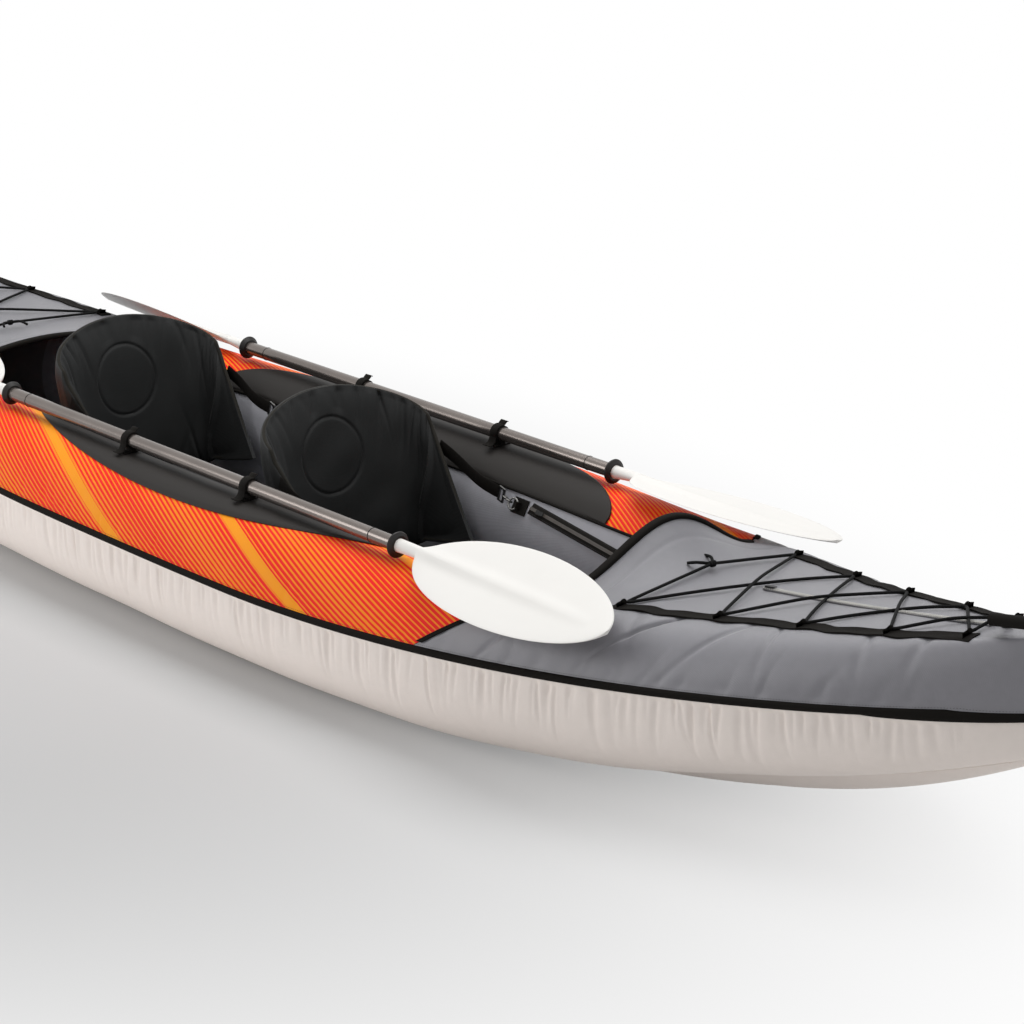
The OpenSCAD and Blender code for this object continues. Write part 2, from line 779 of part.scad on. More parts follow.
// A strap runs straight from its wing through its hook to the middle of its ring
wing_grip = 0.92;
wing_grip_high = 0.8;
ring_lift = lay + tape_t + near + hook_ring_r + ring_rod;
function strap_start(seat_x, side) =
    back_point(seat_x, side * wing_grip, wing_grip_high, -1) + [0, side * (strap_gap + strap_t / 2), 0];
function ring_centre(seat_x, side) =
    tube_point(ring_x(seat_x), ring_angle, 0, side)
    + ring_lift * tube_out(ring_x(seat_x), ring_angle, side)
    - seat_ring_r * tube_along(ring_x(seat_x), ring_angle, side);
function strap_run(seat_x, side) = ring_centre(seat_x, side) - strap_start(seat_x, side);
link_play = near + 2 * ring_rod;
hook_len = 26;
slide_len = 18;
slide_bar = 4;
function hook_at(seat_x, side) = norm(strap_run(seat_x, side)) - seat_ring_r - hook_ring_r + link_play;
function strap_length(seat_x, side) = hook_at(seat_x, side) - hook_ring_r - ring_rod - hook_len;
function ring_roll(seat_x, side) = 90 + tube_turn(ring_x(seat_x), ring_angle, side);
module along_strap(seat_x, side, from = 0, roll = 0) {
    d = unit(strap_run(seat_x, side));
    translate(strap_start(seat_x, side))
        rotate([0, -asin(d[2]), atan2(d[1], d[0])])
            translate([from, 0, 0])
                rotate([roll, 0, 0])
                    children();
}
module wire_ring(r, rod_r) {
    rotate_extrude($fn = 48)
        translate([r, 0])
            circle(r = rod_r, $fn = 24);
}
module seat_ring(seat_x, side, rod_r) {
    along_strap(seat_x, side, norm(strap_run(seat_x, side)), ring_roll(seat_x, side) - 90)
        wire_ring(seat_ring_r, rod_r);
}
keeper = [8, 14];
module ring_patches() {
    color("black")
        for (seat_x = SEATS, side = SIDES) {
            on_tube(ring_x(seat_x), ring_angle, side)
                translate([-ring_patch[0] / 2, -ring_patch[1] / 2, lay])
                    cube([ring_patch[0], ring_patch[1], tape_t]);
            difference() {
                on_tube(ring_x(seat_x), ring_angle, side)
                    translate([-keeper[0] / 2, -keeper[1] / 2, lay])
                        cube([keeper[0], keeper[1], ring_lift + 2 * ring_rod]);
                seat_ring(seat_x, side, ring_rod + near);
            }
        }
}
module seat_rings() {
    color("silver")
        for (seat_x = SEATS, side = SIDES)
            seat_ring(seat_x, side, ring_rod);
}
module seat_strap(seat_x, side) {
    color("black")
        along_strap(seat_x, side)
            translate([0, -strap_t / 2, -strap_w / 2])
                cube([strap_length(seat_x, side) - near, strap_t, strap_w]);
}
module hook_slide() {
    high = strap_w + 2 * slide_bar;
    translate([0, slide_bar / 2, 0])
        rotate([90, 0, 0])
            linear_extrude(slide_bar)
                difference() {
                    translate([0, -high / 2])
                        square([slide_len, high]);
                    translate([slide_bar, -strap_w / 2])
                        square([slide_len - 2 * slide_bar, strap_w]);
                }
    translate([slide_len - 1, 0, 0])
        rotate([0, 90, 0])
            cylinder(d = 7, h = hook_len - slide_len + 1.5, $fn = 32);
}
module strap_hooks() {
    color("silver")
        for (seat_x = SEATS, side = SIDES) {
            along_strap(seat_x, side, strap_length(seat_x, side))
                hook_slide();
            along_strap(seat_x, side, hook_at(seat_x, side), ring_roll(seat_x, side))
                wire_ring(hook_ring_r, ring_rod);
        }
}

// Seats
back_rows = 24;
back_cols = 11;
back_depth = 95;
wing_share = 0.78;
back_roundness = 0.93;
back_clear = 5;
wing_lift = 68;
back_edge = 0.28;
groove_w = 14;
groove_d = 9;
round_z = 318;
function seat_half() = inner_half(rear_seat_x - back_t) - seat_gap;
function back_foot(seat_x) = mat_top(seat_x) + back_clear;
function back_low(seat_x, s) = back_foot(seat_x) + wing_lift * pow(abs(s), 3);
top_round = 0.06;
function back_high(s) =
    let (fall = sqrt(s * s + top_round) - sqrt(top_round))
    back_top - wing_drop * fall / (sqrt(1 + top_round) - sqrt(top_round));
function back_plan(s, v) =
    let (a = abs(s))
    let (half = seat_half() - back_t / 2 + back_flare * v)
    let (f = 90 * min(1, a / wing_share))
    let (reach = (wing_len - wing_rake * v - back_depth) * max(0, a - wing_share) / (1 - wing_share))
    [
        back_depth * (1 - pow(max(0, cos(f)), back_roundness)) + reach,
        (s < 0 ? -1 : 1) * half * pow(max(0, sin(f)), back_roundness)
    ];
function back_normal(s, v) =
    let (d = back_plan(s + 0.01, v) - back_plan(s - 0.01, v))
    unit([d[1], -d[0]]);
function back_point(seat_x, s, v, face) =
    let (z = lerp(back_low(seat_x, s), back_high(s), v))
    let (p = back_plan(s, v))
    let (n = back_normal(s, v))
    let (swell = (1 - pow(abs(s), 8)) * (1 - pow(abs(2 * v - 1), 6)))
    let (r = norm([p[1], z - round_z]))
    let (groove = abs(s) < wing_share ? groove_d * exp(-pow((r - back_round) / groove_w, 2)) : 0)
    let (t = back_t * lerp(back_edge, 1, swell) - groove)
    [
        seat_x + p[0] - (z - back_foot(seat_x)) * tan(back_lean) + face * n[0] * t / 2,
        p[1] + face * n[1] * t / 2,
        z
    ];
function back_grid(seat_x, face) =
    [for (i = [0 : back_rows])
        [for (j = [0 : back_cols]) back_point(seat_x, lerp(-1, 1, i / back_rows), j / back_cols, face)]];
module backrest(seat_x) {
    color("black")
        panel(back_grid(seat_x, 1), back_grid(seat_x, -1));
}

pad_rows = 10;
pad_cols = 12;
pad_side = 8;
pad_start = 56;
pad_pull = 7;
pad_edge = 0.35;
function pad_half() = seat_half() - back_t - pad_side;
function pad_point(seat_x, u, v, top) =
    let (x = seat_x + pad_start + pad_len * u - pad_pull * (2 * u - 1) * (1 - v * v))
    let (y = v * (pad_half() - pad_pull * sin(180 * u)))
    let (crown = (1 - pow(abs(2 * u - 1), 5)) * (1 - pow(abs(v), 5)))
    let (base = mat_top(seat_x) + near)
    [x, y, base + (top ? pad_t * lerp(pad_edge, 1, crown) : 0)];
function pad_grid(seat_x, top) =
    [for (i = [0 : pad_rows])
        [for (j = [0 : pad_cols]) pad_point(seat_x, i / pad_rows, lerp(-1, 1, j / pad_cols), top)]];
// The hem along a pad's back edge carries the foot of its backrest
hem_half = 60;
hem_gap = 0.7;
module seat_pad(seat_x) {
    hem_x = back_edge * back_t / 2 + hem_gap;
    color("black") {
        panel(pad_grid(seat_x, true), pad_grid(seat_x, false));
        translate([seat_x + hem_x, -hem_half, mat_top(seat_x) + near])
            cube([pad_start + 2 * pad_pull - hem_x, 2 * hem_half, back_clear - near - hem_gap]);
    }
}

// Paddles: the end joints lie at both ends of the shaft
shaft_bore = shaft_d - 2 * shaft_wall;
ferrule_in = 60;
function paddle_x(side) = side == PORT ? port_paddle_x : starboard_paddle_x;
function shaft_len(side) = side == PORT ? port_shaft_len : starboard_shaft_len;
function paddle_turn(side, end) =
    side == STARBOARD ? starboard_turn : end == BOW ? port_turn : port_rear_turn;
module at_paddle(side, end) {
    translate([paddle_x(side), side * shaft_y, shaft_z])
        mirror([end == BOW ? 0 : 1, 0, 0])
            children();
}
module tube(outer_d, inner_d, length) {
    rotate([0, 90, 0])
        difference() {
            cylinder(d = outer_d, h = length, $fn = 64);
            translate([0, 0, -1])
                cylinder(d = inner_d, h = length + 2, $fn = 64);
        }
}
module paddle_shaft(side) {
    color("dimgray") {
        at_paddle(side, BOW)
            translate([-shaft_len(side) / 2, 0, 0])
                tube(shaft_d, shaft_bore, shaft_len(side));
        for (end = ENDS)
            at_paddle(side, end)
                translate([shaft_len(side) / 2 - ferrule_in, 0, 0])
                    rotate([0, 90, 0]) {
                        cylinder(d = shaft_bore - 2 * fit, h = ferrule_in + ferrule_len, $fn = 64);
                        cylinder(d = shaft_bore + shaft_wall, h = ferrule_in / 2, $fn = 64);
                    }
    }
}
module blade_stub(side, end) {
    color("dimgray")
        at_paddle(side, end)
            translate([shaft_len(side) / 2 + near / 2, 0, 0])
                tube(shaft_d, shaft_bore, stub_len);
}
ring_lip = 4;
module drip_ring(side, end) {
    bore = shaft_d + 2 * fit;
    color("black")
        at_paddle(side, end)
            translate([shaft_len(side) / 2 + stub_len - ring_w, 0, 0])
                rotate([0, 90, 0])
                    rotate_extrude($fn = 96)
                        polygon([
                            [bore / 2, 0], [bore / 2 + ring_lip, 0], [ring_d / 2 - 1, ring_w * 0.45],
                            [ring_d / 2, ring_w * 0.6], [ring_d / 2 - 1, ring_w * 0.75],
                            [bore / 2 + ring_lip, ring_w], [bore / 2, ring_w]
                        ]);
}
blade_sides = 14;
blade_rings = 11;
blade_neck = 0.1;
blade_thin = 3.5;
blade_spine = 7;
plug_len = 26;
function blade_width(u) =
    let (v = max(0, (u - blade_neck) / (1 - blade_neck)))
    max(u < 0.3 ? shaft_d / 2 - 1 : 4, blade_w / 2 * pow(max(0, 4 * v * (1 - v)), 0.55));
function blade_ring(u, turn, side) =
    let (w = blade_width(u))
    let (root = pow(max(0, 1 - u / 0.22), 1.5))
    let (spine = blade_spine * max(0, 1 - u / 0.75))
    let (z = blade_rise * u * u)
    [for (k = [0 : blade_sides - 1])
        let (a = 360 * k / blade_sides)
        let (edge = lerp(blade_thin, shaft_d / 2 - 1, root))
        let (rib = sin(a) > 0 ? spine * (1 - root) * pow(abs(sin(a)), 6) : 0)
        let (y = -w * cos(a) + side * blade_sweep * u * u)
        let (h = edge * sin(a) + rib + z)
        [blade_len * u, y * cos(turn) - h * sin(turn), y * sin(turn) + h * cos(turn)]];
function plug_ring(x, turn) =
    let (r = shaft_bore / 2 - near)
    [for (k = [0 : blade_sides - 1])
        let (a = 360 * k / blade_sides - turn)
        [x, -r * cos(a), r * sin(a)]];
module blade(side, end) {
    turn = paddle_turn(side, end);
    fractions = [for (i = [0 : blade_rings]) sin(90 * i / blade_rings)];
    color("white")
        at_paddle(side, end)
            translate([shaft_len(side) / 2 + stub_len + near, 0, 0])
                loft(concat(
                    [plug_ring(-plug_len, turn), plug_ring(0, turn)],
                    [for (u = fractions) blade_ring(u, turn, side)]
                ));
}

// Air valves
flange_r = 30;
flange_t = 3;
neck_h = 13;
cap_h = 12;
module at_valve(which) {
    if (which == 0)
        translate([floor_valve_x, 0, mat_top(floor_valve_x)])
            children();
    else
        on_tube(valve_x, 180, which)
            children();
}
module valve_bodies() {
    color("dimgray")
        for (which = [PORT, STARBOARD, 0])
            at_valve(which)
                translate([0, 0, lay]) {
                    cylinder(r = flange_r, h = flange_t, $fn = 64);
                    cylinder(r = valve_r, h = flange_t + neck_h, $fn = 64);
                }
}
module valve_cap(which) {
    color("black")
        at_valve(which)
            translate([0, 0, lay + flange_t + near])
                difference() {
                    cylinder(r = cap_r, h = neck_h + cap_h / 3, $fn = 64);
                    translate([0, 0, -1])
                        cylinder(r = valve_r + fit, h = neck_h + 1, $fn = 64);
                }
}

bottom_panel();
chine_panel(PORT);  // chine_panel_port
chine_panel(STARBOARD);  // chine_panel_starboard
side_cover(PORT);  // side_cover_port
side_cover(STARBOARD);  // side_cover_starboard
inner_wall(PORT);  // inner_wall_port
inner_wall(STARBOARD);  // inner_wall_starboard
deck(BOW);  // bow_deck
deck(STERN);  // stern_deck
side_bladder(PORT);  // side_bladder_port
side_bladder(STARBOARD);  // side_bladder_starboard
floor_mat();
hull_piping();
deck_bindings();
panel_trims();
gunwale_patch(PORT);  // gunwale_patch_port
gunwale_patch(STARBOARD);  // gunwale_patch_starboard
deck_webbings();
bungee(BOW);  // bow_bungee
bungee(STERN);  // stern_bungee
deck_zips();
wall_zips();
deck_slider(BOW);  // bow_zip_slider
deck_slider(STERN);  // stern_zip_slider
wall_slider(PORT);  // wall_slider_port
wall_slider(STARBOARD);  // wall_slider_starboard
paddle_straps();
handle_anchors();
handle(BOW);  // bow_handle
handle(STERN);  // stern_handle
ring_patches();
seat_rings();
strap_hooks();
valve_bodies();
valve_cap(PORT);  // valve_cap_port
valve_cap(STARBOARD);  // valve_cap_starboard
valve_cap(0);  // floor_valve_cap
seat_pad(front_seat_x);  // front_seat_pad
backrest(front_seat_x);  // front_backrest
seat_strap(front_seat_x, PORT);  // front_strap_port
seat_strap(front_seat_x, STARBOARD);  // front_strap_starboard
seat_pad(rear_seat_x);  // rear_seat_pad
backrest(rear_seat_x);  // rear_backrest
seat_strap(rear_seat_x, PORT);  // rear_strap_port
seat_strap(rear_seat_x, STARBOARD);  // rear_strap_starboard
paddle_shaft(PORT);  // paddle_shaft_port
blade_stub(PORT, BOW);  // blade_stub_front_port
blade_stub(PORT, STERN);  // blade_stub_rear_port
blade(PORT, BOW);  // blade_front_port
blade(PORT, STERN);  // blade_rear_port
drip_ring(PORT, BOW);  // drip_ring_front_port
drip_ring(PORT, STERN);  // drip_ring_rear_port
paddle_shaft(STARBOARD);  // paddle_shaft_starboard
blade_stub(STARBOARD, BOW);  // blade_stub_front_starboard
blade_stub(STARBOARD, STERN);  // blade_stub_rear_starboard
blade(STARBOARD, BOW);  // blade_front_starboard
blade(STARBOARD, STERN);  // blade_rear_starboard
drip_ring(STARBOARD, BOW);  // drip_ring_front_starboard
drip_ring(STARBOARD, STERN);  // drip_ring_rear_starboard
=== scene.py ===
# %% [markdown]
# # An inflatable kayak for two
# The boat is a cloth cover over air chambers: a white lower hull, printed side panels, grey laced
# decks, two padded seats and two take-apart paddles. Its hard pieces come from the CAD model, which
# is loaded as a fixed frame. What is cloth, cord or moulded in soft curves is built here around it.
# Sizes are in metres: X runs to the bow, Y to port and Z up.

# %% Load the frame
import math

import bpy
import numpy as np
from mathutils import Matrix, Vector


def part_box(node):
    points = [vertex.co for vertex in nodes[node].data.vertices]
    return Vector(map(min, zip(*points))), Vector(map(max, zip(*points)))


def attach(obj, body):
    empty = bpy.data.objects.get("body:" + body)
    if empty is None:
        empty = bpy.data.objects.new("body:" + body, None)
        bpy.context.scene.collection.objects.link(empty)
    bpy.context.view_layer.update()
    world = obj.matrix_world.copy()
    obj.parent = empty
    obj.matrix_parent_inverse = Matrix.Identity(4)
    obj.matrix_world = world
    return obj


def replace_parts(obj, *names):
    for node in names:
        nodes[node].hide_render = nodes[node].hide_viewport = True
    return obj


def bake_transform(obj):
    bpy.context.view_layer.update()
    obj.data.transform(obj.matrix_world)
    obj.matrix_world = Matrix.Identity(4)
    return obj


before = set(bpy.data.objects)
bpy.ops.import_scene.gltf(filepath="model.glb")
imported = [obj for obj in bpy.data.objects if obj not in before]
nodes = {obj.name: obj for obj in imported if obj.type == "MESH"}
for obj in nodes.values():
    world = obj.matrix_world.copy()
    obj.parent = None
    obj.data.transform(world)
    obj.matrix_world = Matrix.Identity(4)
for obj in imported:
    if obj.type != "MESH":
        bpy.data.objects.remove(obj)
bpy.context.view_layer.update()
scene = bpy.context.scene
PORT, STARBOARD = 1, -1
SIDES = {PORT: "port", STARBOARD: "starboard"}
BOW, STERN = 1, -1
ENDS = {BOW: "bow", STERN: "stern"}

# %% [markdown]
# ## The camera
# The camera stands off the starboard bow, a little above the boat, with a long lens that lets both
# ends run out of the picture. It could be placed by typed coordinates, but an azimuth, an elevation
# and a distance round a point on the boat are easier to read and to change.

# %% Camera
CAM_TARGET = Vector((0.742, 0.0, 0.339))
CAM_AZIMUTH, CAM_ELEVATION = math.radians(50.27), math.radians(17.70)
CAM_DISTANCE, CAM_LENS, CAM_SENSOR = 6.343, 113.9, 36.0
camera_data = bpy.data.cameras.new("photo_camera")
camera_data.lens, camera_data.sensor_width = CAM_LENS, CAM_SENSOR
camera = bpy.data.objects.new("photo_camera", camera_data)
scene.collection.objects.link(camera)
camera_back = Vector((
    math.sin(CAM_AZIMUTH) * math.cos(CAM_ELEVATION),
    -math.cos(CAM_AZIMUTH) * math.cos(CAM_ELEVATION),
    math.sin(CAM_ELEVATION),
))
camera.location = CAM_TARGET + CAM_DISTANCE * camera_back
camera.rotation_mode = "QUATERNION"
camera.rotation_quaternion = (-camera_back).to_track_quat("-Z", "Y")
scene.camera = camera
scene.view_settings.view_transform = "Standard"
print("camera at", [round(c, 3) for c in camera.location])

# %% [markdown]
# ## The lines of the hull
# Every cloth panel lies on the same pair of swept tubes. The tubes could be drawn by hand as curves,
# but then each panel would have to be fitted to them. So a few functions give the half beam, the
# crest, the underside and the piping at any place along the boat, just as the CAD model has them.
# They take whole arrays, which keeps fine meshes quick.

# %% Sizes of the hull
HALF_LEN, BEAM, STEM_HALF = 2.150, 0.900, 0.016
PLAN_POWER, PLAN_ROUND = 2.6, 0.85
TUBE_H, TUBE_W, TUBE_LIFT, TUBE_SHARE = 0.318, 0.246, 0.006, 0.45
SHEER, TUBE_RISE, KEEL_RISE = 0.157, 0.262, 0.262
PIPING_H, PIPING_RISE, PIPING_W = 0.184, 0.160, 0.014
# Each line rises towards the ends: where its rise starts along the boat, and by which power it grows.
CREST_CURVE, LOW_CURVE = (0.600, 2.2), (0.500, 2.5)
KEEL_CURVE, PIPING_CURVE = (0.700, 3.1), (0.400, 1.75)
# A tube's section is an oval, made fuller on its outer underside.
OVAL, FULL_OVAL = 2.0, 2.5
# Angles round a tube, in degrees: 0 faces out, 90 up and 180 in.
SHOULDER, WALL_SEAM = 90.0, 135.0
# Clearance between neighbouring pieces.
NEAR = 0.0004
print("hull", 2 * HALF_LEN, "m long and", BEAM, "m wide")


# %% Lines of the hull
def lerp(a, b, t):
    return a + (b - a) * t


def end_rise(x, curve):
    """0 amidships, growing to 1 at either end."""
    start, power = curve
    return np.clip((np.abs(x) - start) / (HALF_LEN - start), 0, None) ** power


def half_beam(x):
    body = np.clip(1 - (np.abs(x) / HALF_LEN) ** PLAN_POWER, 0, None) ** PLAN_ROUND
    return STEM_HALF + (BEAM / 2 - STEM_HALF) * body


def crest_z(x):
    return TUBE_H + SHEER * end_rise(x, CREST_CURVE)


def low_z(x):
    return TUBE_LIFT + TUBE_RISE * end_rise(x, LOW_CURVE)


def keel_z(x):
    return KEEL_RISE * end_rise(x, KEEL_CURVE)


def piping_z(x):
    return PIPING_H + PIPING_RISE * end_rise(x, PIPING_CURVE)


def tube_half(x):
    return np.minimum(TUBE_W / 2, TUBE_SHARE * half_beam(x))


def crest_y(x):
    return half_beam(x) - tube_half(x)


def mid_z(x):
    return (crest_z(x) + low_z(x)) / 2


def half_height(x):
    return (crest_z(x) - low_z(x)) / 2


print("crest amidships", TUBE_H, "m, at the bow", round(float(crest_z(HALF_LEN)), 3), "m")


# %% Points on a tube
def signed_power(c, fullness):
    return np.sign(c) * np.abs(c) ** (2 / fullness)


def tube_point(x, angle, out, side):
    """Point of a side tube at an angle, moved out from the surface."""
    x, angle, out = np.broadcast_arrays(*(np.asarray(v, float) for v in (x, angle, out)))
    fullness = np.where((angle > -90) & (angle < 0), FULL_OVAL, OVAL)
    turn = np.radians(angle)
    y = side * (crest_y(x) + (tube_half(x) + out) * signed_power(np.cos(turn), fullness))
    z = mid_z(x) + (half_height(x) + out) * signed_power(np.sin(turn), fullness)
    return np.stack([x, y, z], -1)


def angle_at(x, z):
    return np.degrees(np.arcsin(np.clip((z - mid_z(x)) / half_height(x), -1, 1)))


def piping_low(x):
    return angle_at(x, piping_z(x) - PIPING_W / 2 - NEAR)


def piping_high(x):
    return angle_at(x, piping_z(x) + PIPING_W / 2 + NEAR)


print("piping amidships at", round(float(piping_high(0.0)), 1), "degrees round the tube")

# %% [markdown]
# ## The lines of the decks
# Each deck is stretched between the crests of the tubes. Its cockpit edge lifts into an arch that
# fades towards the boat's end. A lattice could bend a flat deck into that shape, but the lacing, the
# zip and the binding have to lie on the same surface, so the height is a function: the crest, a
# little crown and a fading bell.

# %% Deck lines
DECK_EDGE = {BOW: 1.170, STERN: 0.950}
DECK_ARCH = {BOW: 0.097, STERN: 0.014}
EDGE_DIP, ARCH_LEN, DECK_CROWN, CROWN_HALF = 0.030, 0.180, 0.008, 0.1
TRIM_W, TRIM_SLANT, TRIM_CURVE = 0.016, 0.222, 1.4


def edge_x(end, q):
    """Where the deck begins, with q from -1 to 1 across the boat."""
    return DECK_EDGE[end] + EDGE_DIP * (1 - q * q)


def deck_z(end, x, y):
    q = y / crest_y(x)
    bell = 0.5 + 0.5 * np.cos(np.pi * q)
    fade = np.clip(1 - (np.abs(x) - edge_x(end, q)) / ARCH_LEN, 0, 1) ** 2
    crown = DECK_CROWN * np.minimum(1, crest_y(x) / CROWN_HALF) * (1 - q * q)
    return crest_z(x) + crown + DECK_ARCH[end] * bell * fade


def trim_x(end, t):
    """The slanted seam between side cover and deck, with t from the piping up to the shoulder."""
    return DECK_EDGE[end] - TRIM_W / 2 - TRIM_SLANT * np.power(np.clip(1 - t, 0, 1), TRIM_CURVE)


for end in ENDS:
    print(ENDS[end], "arch top", round(float(deck_z(end, edge_x(end, 0.0), 0.0)), 3), "m")

# %% [markdown]
# ## Mesh helpers
# Most pieces are grids of points: cloth is a thin closed shell with a face and a back, and rods and
# tapes are rings along a path. A Solidify modifier and a bevelled curve could make them too. Joining
# the grids here keeps each piece a plain closed mesh, and lets cloth carry a UV map in metres. Its
# faces have to point out, which the signed volume tells.

# %% Closed meshes
SHARP_EDGE = 50


def stacked(*parts):
    """Arrays of coordinates joined into one array of points."""
    return np.stack(np.broadcast_arrays(*parts), -1)


def outward(points, faces):
    tris = np.concatenate([faces[:, [0, 1, 2]], faces[:, [0, 2, 3]]])
    a, b, c = (points[tris[:, k]] for k in range(3))
    volume = np.einsum("ij,ij->i", a, np.cross(b, c)).sum()
    return faces if volume > 0 else faces[:, ::-1]


def mesh_piece(name, points, faces, finish, uv=None, sharp=SHARP_EDGE):
    mesh = bpy.data.meshes.new(name)
    mesh.from_pydata(points.tolist(), [], [tuple(f) for f in faces])
    if uv is not None:
        layer = mesh.uv_layers.new(name="cloth")
        corner = np.empty(len(mesh.loops), np.int32)
        mesh.loops.foreach_get("vertex_index", corner)
        layer.data.foreach_set("uv", uv[corner].astype(np.float32).ravel())
    mesh.polygons.foreach_set("use_smooth", np.ones(len(mesh.polygons), bool))
    mesh.set_sharp_from_angle(angle=math.radians(sharp))
    mesh.materials.append(finish)
    obj = bpy.data.objects.new(name, mesh)
    scene.collection.objects.link(obj)
    return obj


def shell(name, face, back, finish, uv=None):
    """A closed sheet from two grids of the same size, joined round their edges."""
    rows, cols = face.shape[:2]
    n = rows * cols
    i = np.arange(n).reshape(rows, cols)
    a, b, c, d = i[:-1, :-1], i[1:, :-1], i[1:, 1:], i[:-1, 1:]
    quads = [
        np.stack([a, d, c, b], -1).reshape(-1, 4),
        np.stack([a, b, c, d], -1).reshape(-1, 4) + n,
        np.stack([i[:-1, 0], i[1:, 0], i[1:, 0] + n, i[:-1, 0] + n], -1),
        np.stack([i[1:, -1], i[:-1, -1], i[:-1, -1] + n, i[1:, -1] + n], -1),
        np.stack([i[0, 1:], i[0, :-1], i[0, :-1] + n, i[0, 1:] + n], -1),
        np.stack([i[-1, :-1], i[-1, 1:], i[-1, 1:] + n, i[-1, :-1] + n], -1),
    ]
    points = np.concatenate([face.reshape(-1, 3), back.reshape(-1, 3)])
    if uv is not None:
        uv = np.concatenate([uv.reshape(-1, 2)] * 2)
    return mesh_piece(name, points, outward(points, np.concatenate(quads)), finish, uv)


def loft(name, rings, finish, uv=None, ring_closed=False, sharp=SHARP_EDGE):
    """A skin over rings, capped at both ends or joined end to end."""
    rows, m = rings.shape[:2]
    i = np.arange(rows * m).reshape(rows, m)
    after = np.roll(i, -1, axis=1)
    quads = np.stack([i[:-1], after[:-1], after[1:], i[1:]], -1).reshape(-1, 4)
    points = rings.reshape(-1, 3)
    if ring_closed:
        quads = np.concatenate([quads, np.stack([i[-1], after[-1], after[0], i[0]], -1)])
    else:
        middles = np.stack([rings[0].mean(0), rings[-1].mean(0)])
        points = np.concatenate([points, middles])
        first, last = rows * m, rows * m + 1
        start = np.stack([after[0], i[0], np.full(m, first), np.full(m, first)], -1)
        stop = np.stack([i[-1], after[-1], np.full(m, last), np.full(m, last)], -1)
        quads = np.concatenate([quads, start, stop])
        if uv is not None:
            uv = np.concatenate([uv.reshape(-1, 2), uv[0].mean(0)[None], uv[-1].mean(0)[None]])
    quads = outward(points, quads)
    faces = [tuple(dict.fromkeys(q)) for q in quads.tolist()]
    flat_uv = uv.reshape(-1, 2) if uv is not None else None
    return mesh_piece(name, points, faces, finish, flat_uv, sharp)


print("sheets and lofts ready")


# %% Rods and tapes along a path
def unit(v):
    return v / np.linalg.norm(v, axis=-1, keepdims=True)


def path_frames(path, up, closed=False):
    """The directions along, across and up at each point of a path."""
    if closed:
        along = np.roll(path, -1, axis=0) - np.roll(path, 1, axis=0)
    else:
        along = np.gradient(path, axis=0)
    along = unit(along)
    across = unit(np.cross(along, np.broadcast_to(up, path.shape)))
    return along, across, np.cross(across, along)


def path_length(path):
    return np.concatenate([[0], np.cumsum(np.linalg.norm(np.diff(path, axis=0), axis=1))])


def swept(name, path, outline, up, finish, closed=False):
    """A rod or tape: the outline's points are offsets across and up."""
    _, across, rise = path_frames(path, up, closed)
    rings = path[:, None] + outline[:, :1] * across[:, None] + outline[:, 1:] * rise[:, None]
    m = len(outline)
    uv = stacked(path_length(path)[:, None], np.arange(m)[None] / m)
    return loft(name, rings, finish, uv, closed)


def circle_turns(count):
    return 2 * np.pi * np.arange(count) / count


def disc_outline(radius, sides):
    turn = circle_turns(sides)
    return radius * np.stack([np.cos(turn), np.sin(turn)], -1)


def tape_outline(width, thick, edge=0.35):
    """A flat tape with cut corners, whose size is a share of its thickness."""
    w, t, e = width / 2, thick / 2, edge * thick
    return np.array([
        [-w, -t + e], [-w + e, -t], [w - e, -t], [w, -t + e],
        [w, t - e], [w - e, t], [-w + e, t], [-w, t - e],
    ])


def resample(path, count):
    s = path_length(path)
    even = np.linspace(0, s[-1], count)
    return np.stack([np.interp(even, s, path[:, k]) for k in range(3)], -1)


def smooth_path(path, rounds=2):
    """Corner cutting at a quarter of each leg, with the two ends kept."""
    for _ in range(rounds):
        near, far = lerp(path[:-1], path[1:], 0.25), lerp(path[:-1], path[1:], 0.75)
        cut = np.stack([near, far], 1).reshape(-1, 3)
        path = np.concatenate([path[:1], cut[1:-1], path[-1:]])
    return path


def on_hull(obj, replaces=()):
    """The piece rides on the hull and may replace CAD nodes."""
    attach(obj, "hull")
    if replaces:
        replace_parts(obj, *replaces)
    return obj


print("rods and tapes ready")

# %% [markdown]
# ## Finishes
# Cloth shows a weave, soft changes of tone and some dust; moulded plastic shows fine grain. Each
# material could hold all those nodes itself. As many materials share them, the effects are shader
# groups with named inputs, and each finish places them with its own values. Colours are written as
# they look, from 0 to 255, and turned to the linear values that shaders use.

# %% Node helpers
def linear(colour):
    def channel(c):
        c = c / 255
        return c / 12.92 if c <= 0.04045 else ((c + 0.055) / 1.055) ** 2.4
    return (*(channel(c) for c in colour), 1.0)


def feed(tree, target, value):
    """Link a socket to another one, or set its value."""
    if isinstance(value, bpy.types.NodeSocket):
        tree.links.new(value, target)
    else:
        target.default_value = value


def add(tree, kind, links=None, **settings):
    node = tree.nodes.new(kind)
    for key, value in settings.items():
        setattr(node, key, value)
    for socket, value in (links or {}).items():
        feed(tree, node.inputs[socket], value)
    return node


def maths(tree, operation, *values):
    return add(tree, "ShaderNodeMath", dict(enumerate(values)), operation=operation).outputs[0]


def noise(tree, place, scale, detail, roughness=0.5):
    links = {"Vector": place, "Scale": scale, "Detail": detail, "Roughness": roughness}
    return add(tree, "ShaderNodeTexNoise", links).outputs["Fac"]


def scaled(tree, value, to_range, from_range=(0.0, 1.0), **settings):
    links = {"Value": value, "From Min": from_range[0], "From Max": from_range[1],
             "To Min": to_range[0], "To Max": to_range[1]}
    return add(tree, "ShaderNodeMapRange", links, **settings).outputs["Result"]


